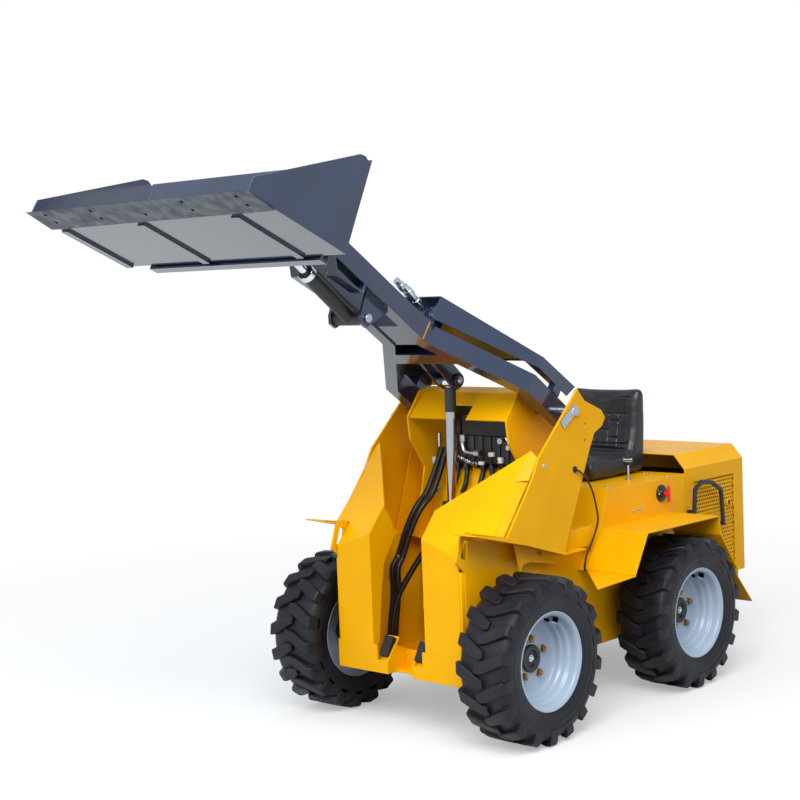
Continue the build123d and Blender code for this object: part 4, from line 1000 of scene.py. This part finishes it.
    def hub(self) -> None:
        """Black cap over the axle, its centre bolt, the gold nuts on their studs and the valve."""
        cap = lathe([(-4.5, 0.0), (-4.5, 48.0), (4.0, 48.0), (7.0, 45.0), (7.0, 30.0), (0.0, 26.0), (0.0, 0.0)], 48)
        stem = lathe([(0.0, 3.6), (26.0, 3.6), (27.0, 4.6), (36.0, 4.6), (37.0, 3.6), (37.0, 0.0)], 14)
        stem.transform(Matrix.Translation(around(146.0, 26.0, math.radians(self.valve_deg))))
        piece = join("hub_cap_" + self.corner, [cap, stem])
        piece.data.transform(self.place())
        dress(piece, self.body(), POWDER)
        collar = lathe([(0.0, 14.5), (2.0, 14.5), (4.0, 12.4), (4.0, 0.0)], 24)
        hexagon = bmesh.new()
        bmesh.ops.create_cone(hexagon, cap_ends=True, segments=6, radius1=12 * MM, radius2=12 * MM, depth=11 * MM)
        bmesh.ops.bevel(hexagon, geom=hexagon.edges[:], offset=0.9 * MM, segments=1, affect="EDGES")
        hexagon.transform(Matrix.Translation((0, 9 * MM, 0)) @ Matrix.Rotation(math.pi / 2, 4, "X"))
        stud = lathe([(10.0, 6.2), (18.5, 6.2), (20.0, 5.0), (20.0, 0.0)], 18)
        nuts = join("wheel_nuts_" + self.corner, [collar, hexagon, stud])
        nuts.data.transform(Matrix.Translation((0, (self.disc_y + 2.0) * MM, self.stud_r * MM)))
        RING.apply(nuts, GOLD_ZINC, Count=self.studs, Start=0.0)
        nuts.data.transform(self.place())
        dress(nuts, self.body(), GOLD_ZINC)
        bolt = lathe([(0.0, 12.0), (2.0, 12.0), (2.0, 7.5), (7.0, 7.5), (8.0, 6.5), (8.0, 0.0)], 24)
        bolt.transform(self.place())
        dress(mesh_object("axle_bolt_" + self.corner, bolt), self.body(), ZINC)

    def build(self) -> None:
        """The whole wheel."""
        self.tyre()
        self.rim()
        self.hub()
        log.info("wheel: %s", self.corner)


# ---------------------------------------------------------------- seat
@dataclass
class Seat:
    """Moulded pan seat: one pad that turns up into a low back, with a raised border and sewn blocks."""

    back_x: float = -715.0
    half_width: float = 176.0
    bottom_z: float = 790.0
    # voxel and the furthest that a point may swell, in metres
    voxel: float = 0.008
    cap: float = 0.007
    frames: int = 20
    # side profile, a little inside the finished size: distance forward of back_x, height over bottom_z
    outline: Sequence[Point] = (
        (30, 4), (200, 2), (330, 4), (385, 10), (402, 30), (404, 52), (392, 76), (368, 86), (330, 86), (260, 76),
        (180, 72), (135, 76), (112, 92), (98, 125), (86, 180), (78, 240), (72, 300), (64, 326), (48, 338),
        (28, 334), (16, 316), (10, 270), (8, 200), (12, 110), (18, 40),
    )
    # where the profile is set across the pad, as a share of half its width, and where its sides start to round
    stations: Sequence[float] = (-1.0, -0.985, -0.95, -0.9, -0.8, -0.5, 0.0, 0.5, 0.8, 0.9, 0.95, 0.985, 1.0)
    side_start: float = 0.86
    side_r: float = 20.0

    def base(self) -> bpy.types.Object:
        """Closed form of the pad with rounded sides, slightly smaller than the finished seat.

        Returns:
            The pad.
        """
        points = [Vector(point) for point in self.outline]
        rings = []
        for station in self.stations:
            edge = max(0.0, (abs(station) - self.side_start) / (1 - self.side_start))
            inset = self.side_r * (1 - math.sqrt(max(0.0, 1 - edge * edge)))
            y = station * (self.half_width - 6)
            ring = []
            for i, point in enumerate(points):
                along = (points[(i + 1) % len(points)] - points[i - 1]).normalized()
                moved = point + Vector((-along.y, along.x)) * inset
                ring.append(at(self.back_x + moved.x, y, self.bottom_z + moved.y))
            rings.append(ring)
        return mesh_object("seat_pad", loft(rings))

    def inflate(self, pad: bpy.types.Object) -> None:
        """Swell the pad with a short cloth run under inner pressure, held to a cap.

        Args:
            pad: The pad.
        """
        remesh = pad.modifiers.new("voxels", "REMESH")
        remesh.mode, remesh.voxel_size = "VOXEL", self.voxel
        keep(pad)
        start = np.array([v.co for v in pad.data.vertices])
        cloth = pad.modifiers.new("cloth", "CLOTH")
        cloth.settings.use_pressure = True
        cloth.settings.uniform_pressure_force = 4.0
        cloth.settings.effector_weights.gravity = 0.0
        cloth.point_cache.frame_start, cloth.point_cache.frame_end = 1, self.frames
        scene = bpy.context.scene
        for step in range(1, self.frames + 1):
            scene.frame_set(step)
        keep(pad)
        scene.frame_set(1)
        moved = np.array([v.co for v in pad.data.vertices]) - start
        reach = np.linalg.norm(moved, axis=1, keepdims=True)
        held = start + moved * np.minimum(1.0, self.cap / np.maximum(reach, 1e-9))
        pad.data.vertices.foreach_set("co", held.ravel())
        log.info("seat: cloth moved points by up to %.1f mm", float(reach.max()) * 1000)
        finer = pad.modifiers.new("finer", "SUBSURF")
        finer.levels = finer.render_levels = 1
        keep(pad)

    @staticmethod
    def groove(distance: np.ndarray, width: float) -> np.ndarray:
        """Depth share of a sewn channel at a distance from its line."""
        return np.exp(-((distance / width) ** 2))

    @staticmethod
    def inside(distance: np.ndarray, border: float, width: float) -> np.ndarray:
        """Share from 1 inside a border to 0 outside it, over about twice a width."""
        return 1 / (1 + np.exp((distance - border) / width))

    def sew(self, pad: bpy.types.Object) -> None:
        """Sink the centre panel inside its border and press the channels between the blocks.

        Args:
            pad: The swollen pad.
        """
        mesh = pad.data
        values = {}
        for key in ("co", "normal"):
            flat = np.zeros(len(mesh.vertices) * 3)
            mesh.vertices.foreach_get(key, flat)
            values[key] = flat.reshape(-1, 3)
        co, normal = values["co"], values["normal"]
        x = (co[:, 0] - BASE_X) * 1000 - self.back_x
        y = np.abs(co[:, 1]) * 1000
        z = co[:, 2] * 1000 - self.bottom_z
        # the back's front face, up from the hollow, and the cushion's top
        back = (normal[:, 0] > 0.35) & (x < 140) & (z > 84)
        cushion = (normal[:, 2] > 0.35) & (x > 100) & (z > 50)
        groove, inside = self.groove, self.inside
        blocks, tall = (y > 34) & (y < 80), (z < 236) & (z > 96)
        channels = (
            (z - 236, 3.4, y < 126), (z - 170, 3.4, y < 34), (z - 206, 3.4, blocks), (z - 140, 3.4, blocks),
            (y - 34, 3.4, tall), (y - 80, 3.4, tall), (z - 100, 4.0, y < 126),
        )
        # where, how deep in millimetres, and which share of it
        presses = (
            (back, 8.0, inside(y, 128, 3.0) * inside(z, 300, 3.0)),
            (back, 5.0, groove(np.minimum(np.abs(y - 132), 400), 3.2) * (z < 304) + groove(z - 304, 3.2) * (y < 132)),
            (back, 6.0, sum(groove(distance, width) * part for distance, width, part in channels)),
            (cushion, 6.0, inside(y, 132, 3.0) * inside(x, 318, 4.0)),
            (cushion, 5.0, groove(x - 322, 3.6) * (y < 134) + groove(y - 134, 3.4) * (x < 324)),
            (cushion, 4.0, groove(x - 250, 3.6) * (y < 128) + groove(x - 180, 3.6) * (y < 128)),
            # piping round the side, where the cover is sewn to its skirt, stands proud
            (back | cushion, -1.8, groove(y - (self.half_width - 16), 2.6)),
        )
        depth = sum(np.where(part, deep * np.minimum(share, 1.0), 0.0) for part, deep, share in presses)
        co -= normal * (depth * MM)[:, None]
        mesh.vertices.foreach_set("co", co.ravel())
        mesh.update()

    def build(self) -> None:
        """The sewn pad."""
        pad = self.base()
        self.inflate(pad)
        self.sew(pad)
        dress(pad, "chassis", VINYL, ["seat"], 180)
        log.info("seat: %d faces", len(pad.data.polygons))


# ---------------------------------------------------------------- hood
@dataclass
class Hood:
    """Perforated grille and ringed eye on each side of the hood."""

    half_width: float = 329.0
    gauge: float = 4.0
    pitch: float = 15.5
    hole_r: float = 5.2
    half_thick: float = 0.75
    # along the machine and up: the grille's corners and the eye's middle
    low: Point = (-1106.0, 354.0)
    high: Point = (-785.0, 748.0)
    eye: Point = (-1056.0, 625.0)

    def cell(self) -> bpy.types.Object:
        """One square of the panel with its hole.

        Returns:
            The cell.
        """
        bm = bmesh.new()
        holes = []
        for level in (-self.half_thick, self.half_thick):
            outer, inner = [], []
            for turn in (TAU * k / 8 for k in range(8)):
                reach = self.pitch / 2 / max(abs(math.cos(turn)), abs(math.sin(turn)))
                outer.append(bm.verts.new(around(reach, level, turn)))
                inner.append(bm.verts.new(around(self.hole_r, level, turn)))
            bridge(bm, outer, inner)
            holes.append(inner)
        bridge(bm, *holes)
        return mesh_object("cell", bm)

    def build(self) -> None:
        """A panel behind each side's opening, and the eye with its dark plug."""
        columns, rows = (int((high - low) / self.pitch) for low, high in zip(self.low, self.high))
        x, z = ((low + high) / 2 for low, high in zip(self.low, self.high))
        ring = [(-5.0, 18.0), (1.6, 18.0), (2.6, 16.0), (2.6, 12.0), (-5.0, 12.0)]
        plug = [(-3.0, 12.5), (0.6, 12.5), (0.6, 0.0)]
        for hand, name in ((1, "left"), (-1, "right")):
            panel = self.cell()
            centre = tuple(at(x, hand * (self.half_width - self.gauge - 1.0), z))
            PANEL.apply(panel, YELLOW, Columns=columns, Rows=rows, Pitch=self.pitch * MM, Centre=centre)
            panel.name = panel.data.name = "grille_" + name
            dress(panel, "hood", YELLOW)
            seat = at(self.eye[0], hand * self.half_width, self.eye[1])
            eye = pillar(seat, seat + OUT[hand], ring, closed=True)
            dress(mesh_object("hood_eye_" + name, eye), "hood", YELLOW)
            dress(mesh_object("hood_eye_plug_" + name, pillar(seat, seat + OUT[hand], plug)), "hood", BLACK)
        log.info("hood: %d x %d perforations a side", columns, rows)


# ---------------------------------------------------------------- fittings
@dataclass
class Fittings:
    """Screws, plugs and the cable's grommet that the photograph shows on the body."""

    # seat and outward direction of each button head
    screws: Sequence[tuple[Place, Place]] = (
        ((296, 404, 933), (0, 1, 0)), ((469, 395.8, 723.5), (0.6, 0.7, 0.39)), ((592, 292, 579), (0, 1, 0)),
        ((-661, 178, 784), (0, 0, 1)), ((-662, 211, 784), (0, 0, 1)), ((-607, 319, 784), (0, 0, 1)),
        ((-243, 289, 784), (0, 0, 1)), ((-273, 150, 784), (0, 0, 1)), ((-353, 335, 684), (0, 1, 0)),
        ((-393, 335, 687), (0, 1, 0)), ((123, 410, 1104), (0, 1, 0)),
    )
    grommet: Sequence[Point] = (
        (-3.0, 4.4), (-3.0, 10.0), (0.0, 10.0), (0.0, 12.5), (2.6, 12.0), (4.0, 9.5), (4.0, 6.0), (2.6, 4.4)
    )
    plug: Sequence[Point] = ((0, 0), (0, 7.3), (7.1, 7.3), (7.1, 0))

    def build(self) -> None:
        """Button heads on the plates, rubber in the towers' spare holes and round the cable."""
        BOLTS.set("plate_screws", [(at(*seat), Vector(out)) for seat, out in self.screws], "chassis", 6.5, 4.0, 16)
        hole = at(115, 404, 899)
        parts = [pillar(hole, hole + OUT[1], self.grommet, closed=True)]
        for z in (1024, 966):
            for hand in (1, -1):
                parts.append(pillar(at(46, hand * 396.5, z), at(46, hand * 403.6, z), self.plug, 24))
        dress(join("tower_grommet", parts), "chassis", STOP)
        log.info("fittings: %d screws, plugs and grommet", len(self.screws))


# ---------------------------------------------------------------- isolator and levers
@dataclass
class Controls:
    """Battery isolator on the deck's side and the levers round the seat."""

    switch: Place = (-540.0, 335.0, 728.0)
    deck_z: float = 784.0
    # a short lever and a tall one: its foot, and the profiles of its rod and its knob, upwards
    short_foot: Point = (-465.0, 235.0)
    short_rod: Sequence[Point] = ((0.0, 14.0), (3.0, 14.0), (5.0, 5.0), (60.0, 5.0), (62.0, 0.0))
    short_knob: Sequence[Point] = (
        (58.0, 0.0), (58.0, 9.0), (63.0, 10.0), (66.0, 19.0), (72.0, 20.0), (76.0, 15.0), (82.0, 10.8), (87.5, 9.0),
        (88.0, 0.0),
    )
    tall_foot: Point = (-200.0, 110.0)
    tall_rod: Sequence[Point] = ((0.0, 20.0), (4.0, 20.0), (8.0, 8.0), (268.0, 7.0), (270.0, 0.0))
    tall_knob: Sequence[Point] = (
        (262.0, 0.0), (262.0, 9.0), (276.0, 15.0), (296.0, 16.0), (310.0, 11.0), (314.0, 0.0)
    )

    def isolator(self) -> None:
        """Black disc with a bolt, and a red T key."""
        centre = at(*self.switch)
        steps = [(0.0, 33.0), (5.0, 33.0), (8.0, 31.0), (8.0, 22.0), (12.0, 20.0), (18.0, 18.5), (18.0, 0.0)]
        disc = mesh_object("isolator_body", pillar(centre, centre + OUT[1], steps, 48))
        dress(disc, "chassis", BLACK, ["isolator_switch"])
        stem = pillar(centre, centre + OUT[1], [(16.0, 8.0), (34.0, 8.0), (34.0, 0.0)], 24)
        grip = box(centre + Vector((-7, 31, -32)) * MM, centre + Vector((7, 42, 32)) * MM, 3.0)
        dress(join("isolator_key", [stem, grip]), "chassis", RED)
        BOLTS.set("isolator_screw", [(centre + Vector((22, 8, 0)) * MM, OUT[1])], "chassis", 4.0, 3.0, 14)

    def levers(self) -> None:
        """Short levers beside the seat, with ringed knobs, and tall ones in front of it."""
        rods, knobs, rings = [], [], []
        for hand in (1, -1):
            foot, tall = (at(x, hand * y, self.deck_z) for x, y in (self.short_foot, self.tall_foot))
            rods += [pillar(foot, foot + UP, self.short_rod, 20), pillar(tall, tall + UP, self.tall_rod, 20)]
            knobs += [pillar(foot, foot + UP, self.short_knob, 28), pillar(tall, tall + UP, self.tall_knob, 28)]
            for z in (72.5, 80.0):
                ring = [(z, 14.0), (z, 18.0), (z + 2.5, 18.0), (z + 2.5, 10.0), (z, 10.0)]
                rings.append(pillar(foot, foot + UP, ring, 28))
        dress(join("lever_rods", rods), "chassis", ZINC, ["control_levers"])
        dress(join("lever_knobs", knobs), "chassis", BLACK)
        dress(join("lever_rings", rings), "chassis", WHITE)

    def build(self) -> None:
        """Isolator and levers."""
        self.isolator()
        self.levers()
        log.info("controls: isolator and levers")


# ---------------------------------------------------------------- front bay
@dataclass
class Bay:
    """Hydraulics between the towers, and the sheets that close the gaps beside them."""

    # the spool sections: how many, the first one's right side, their pitch and width, and those without a hose
    sections: int = 9
    first_y: float = -152.0
    pitch: float = 41.0
    width: float = 38.0
    bare: tuple[int, ...] = (2, 5)
    # a plug on the valve bank: sideways, up, radius, reach forward
    adapters: Sequence[tuple[float, float, float, float]] = (
        (118, 996, 15, 44), (150, 972, 13, 38), (173, 1030, 14, 34), (186, 992, 16, 48), (208, 1000, 12, 40),
        (204, 962, 11, 34),
    )
    # a white plug: sideways, up, width, height
    plugs: Sequence[tuple[float, float, float, float]] = (
        (8, 907, 20, 13), (58, 942, 22, 16), (100, 922, 18, 22), (-222, 909, 16, 26)
    )
    # start and direction of each hose clamp
    clamps: Sequence[tuple[Place, Place]] = (
        ((215, -164, 812), (230, -161, 798)), ((334, -268, 566), (338, -271, 548))
    )

    def valves(self) -> None:
        """Spool sections side by side, their caps, plugs and the hoses that leave them."""
        blocks, hoses = [], []
        for k in range(self.sections):
            low = self.first_y + self.pitch * k
            y = low + self.width / 2
            blocks.append(box(at(72, low, 905), at(150, low + self.width, 1008), 4.0))
            spring_cap = [(0, 15), (40, 15), (46, 11), (56, 11), (58, 0)]
            blocks.append(pillar(at(112, y, 1006), at(112, y, 1100), spring_cap, 20))
            blocks.append(pillar(at(112, y, 908), at(112, y, 800), [(0, 14), (22, 14), (26, 10), (26, 0)], 20))
            if k not in self.bare:
                # each hose leans its own way, from 14 mm left to 14 mm right
                sway = 14 * math.sin(2.1 * k)
                bends = ((126, 0, 890), (132, sway / 2, 862), (150, sway, 826), (160, sway - 9, 790))
                line = [at(x, y + aside, z) for x, aside, z in bends]
                hoses.append(tube(curve_through(line), 9.5))
                blocks.append(pillar(line[0], line[1], [(-14, 0), (-14, 13), (10, 13), (14, 11), (14, 0)], 6))
        blocks.append(box(at(30, -200, 1000), at(64, 200, 1122), 5.0))
        dress(join("valve_bank", blocks), "chassis", POWDER)
        dress(join("bay_stub_hoses", hoses), "chassis", HOSE)

    def fittings(self) -> None:
        """Plated elbow, hexagon adapters, the coiled sleeve, the plugs and the hose clamps."""
        bends = ((158, -78, 1003), (160, -78, 972), (162, -66, 950), (164, -34, 944), (164, 0, 944))
        elbow = [at(*bend) for bend in bends]
        bright = [
            tube(curve_through(elbow), 8.5, 18),
            pillar(elbow[0], at(158, -78, 960), [(-8, 0), (-8, 14), (16, 14), (18, 11), (18, 0)], 6),
            pillar(elbow[-1], at(164, -60, 944), [(-6, 0), (-6, 13), (16, 13), (18, 11), (18, 0)], 6),
            pillar(at(140, -212, 1012), at(140, -212, 940), [(0, 0), (0, 9), (54, 9), (54, 0)], 20),
        ]
        for y, z, r, reach in self.adapters:
            steps = [(0, 0), (0, r), (16, r), (18, r - 3), (reach, r - 3), (reach, r - 5), (reach, 0)]
            bright.append(pillar(at(140, y, z), at(200, y, z), steps, 6))
        dress(join("bay_adapters", bright), "chassis", ZINC)
        coil = []
        for k in range(91):
            turn = TAU * k / 10
            coil.append(at(152 + 8 * math.cos(turn), -105 + 82 * k / 90, 926 - 26 * k / 90 + 8 * math.sin(turn)))
        dress(mesh_object("bay_coil_sleeve", tube(coil, 2.6, 8)), "chassis", CHROME)
        white = []
        for y, z, wide, high in self.plugs:
            white.append(box(at(150, y - wide / 2, z - high / 2), at(166, y + wide / 2, z + high / 2), 2.0))
        dress(join("bay_plugs", white), "chassis", WHITE)
        band = [(0, 11.4), (0, 12.8), (14, 12.8), (14, 11.4)]
        bands = [pillar(at(*start), at(*end), band, 28) for start, end in self.clamps]
        dress(join("hose_clamps", bands), "chassis", ZINC)

    def sheets(self) -> None:
        """Liner beside each arm, plate at each tower's foot, and the folded strip down each guard's front corner."""
        parts = []
        for hand in (1, -1):
            liner = [at(x, hand * 350, z) for x, z in ((20, 940), (150, 940), (262, 605), (100, 605))]
            parts.append(sheet(liner, OUT[hand] * 4 * MM))
            low, high = sorted((hand * 341, hand * 345))
            parts.append(box(at(-60, low, 596), at(112, high, 668), 1.0))
            low, high = sorted((hand * 286, hand * 297))
            parts.append(box(at(614, low, 302), at(637, high, 598), 1.5))
        dress(join("gap_liners", parts), "chassis", YELLOW)

    def build(self) -> None:
        """Everything in the bay."""
        self.valves()
        self.fittings()
        self.sheets()
        log.info("bay: valve bank, adapters and liners")


# ---------------------------------------------------------------- boom and cylinders
@dataclass
class Boom:
    """Couplers under the cover's mouth, pin heads, the arms' painted line and the cylinders' rings and pipe."""

    # in the boom's own frame: u along the arms, v square to them
    lift_pin: Point = (237.0, -20.0)
    tilt_pin: Point = (792.0, -113.0)
    coupler_pin: Point = (1150.0, -94.0)
    lift_foot: Place = (339.0, 0.0, 330.0)
    coupler: Sequence[Point] = (
        (0, 0), (0, 11), (28, 11), (28, 14.5), (50, 14.5), (52, 12), (78, 12), (80, 15.5), (104, 15.5), (106, 12.5),
        (126, 12.5), (126, 8), (127, 0),
    )

    def couplers(self) -> None:
        """Two quick couplers on their bracket, and its bolts."""
        parts = []
        for y, v, start in ((-6, 118, 540), (34, 98, 530)):
            parts.append(pillar(on_boom(start, y, v), on_boom(start + 120, y, v + 11), self.coupler, 28))
        dress(join("boom_couplers", parts), "boom", ZINC)
        ahead = on_boom(1, 0, 0) - on_boom(0, 0, 0)
        plate = [on_boom(500, y, v) for y, v in ((-104, 34), (104, 34), (104, 128), (-104, 128))]
        dress(mesh_object("coupler_bracket", sheet(plate, ahead * 4)), "boom", ENAMEL)
        bolts = [(on_boom(504, y, v), ahead) for y, v in ((80, 112), (62, 60), (-60, 112))]
        BOLTS.set("coupler_bracket_bolts", bolts, "boom", 6.0, 4.0)

    def arms(self) -> None:
        """Masking line on the arms' sides, pin heads with their bolts."""
        lines, lifts, tilts, places = [], [], [], []
        for hand in (1, -1):
            line = [on_boom(u, hand * 107.5, v) for u, v in ((543, -38), (547, -38), (547, 31), (543, 31))]
            lines.append(sheet(line, OUT[hand] * 1.2 * MM))
            lift = on_boom(self.lift_pin[0], hand * 36, self.lift_pin[1])
            lifts.append(pillar(lift, lift + OUT[hand], [(0, 0), (0, 25), (9, 25), (11, 23), (11, 0)], 36))
            places.append((lift + OUT[hand] * 11 * MM, OUT[hand]))
            tilt = on_boom(self.tilt_pin[0], hand * 84, self.tilt_pin[1])
            tilts.append(pillar(tilt, tilt + OUT[hand], [(-4, 0), (-4, 15), (3, 15), (4, 14), (4, 0)]))
        dress(join("arm_masking_lines", lines), "boom", YELLOW)
        dress(join("boom_pin_heads", lifts), "boom", POWDER)
        dress(join("tilt_pin_heads", tilts), "boom", ZINC)
        BOLTS.set("lift_pin_bolts", places, "boom", 9.0, 6.0, 18)

    def cylinders(self) -> None:
        """Sleeve on the lift rod, and the tilt cylinder's gland ring and pipe."""
        top = on_boom(self.lift_pin[0], 0, self.lift_pin[1])
        sleeve = pillar(top, at(*self.lift_foot), [(26, 0), (26, 21), (112, 21), (116, 19.5), (116, 0)], 36)
        dress(mesh_object("lift_rod_sleeve", sleeve), "lift_rod", POWDER)
        rear, fore = (on_boom(u, 0, v) for u, v in (self.tilt_pin, self.coupler_pin))
        gland = pillar(rear, fore, [(240, 27.2), (240, 30), (259, 30), (261, 27.2)], 36)
        dress(mesh_object("tilt_gland", gland), "tilt_barrel", CHROME)
        up, run = on_boom(0, 0, 1) - on_boom(0, 0, 0), (fore - rear).normalized() * MM
        # distance from the pin along the cylinder and height over its middle
        pipe = [rear + run * u + up * v for u, v in ((30, 27), (40, 33), (220, 33), (235, 27))]
        dress(mesh_object("tilt_pipe", tube(curve_through(pipe), 4.5)), "tilt_barrel", POWDER)

    def build(self) -> None:
        """Everything on the boom."""
        self.couplers()
        self.arms()
        self.cylinders()
        log.info("boom: couplers, pin heads, sleeve, gland and pipe")


def dress_cad() -> None:
    """Give each CAD node its finish."""
    for name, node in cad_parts.items():
        finish = next((finish for finish, starts in CAD_FINISHES.items() if name.startswith(starts)), None)
        if finish is None:
            continue
        for slot in node.material_slots:
            slot.material = finish.material()
        if not node.material_slots:
            node.data.materials.append(finish.material())


def main() -> None:
    """Build the studio and every sub-assembly, in order."""
    logging.basicConfig(level=logging.INFO, format="%(name)s %(message)s")
    Studio().build()
    Cords().build()
    dress_cad()
    for corner, hand in (("front_left", 1), ("front_right", -1), ("rear_left", 1), ("rear_right", -1)):
        Wheel(corner, hand).build()
    for assembly in (Seat, Hood, Fittings, Controls, Bay, Boom):
        assembly().build()


if __name__ == "__main__":
    main()
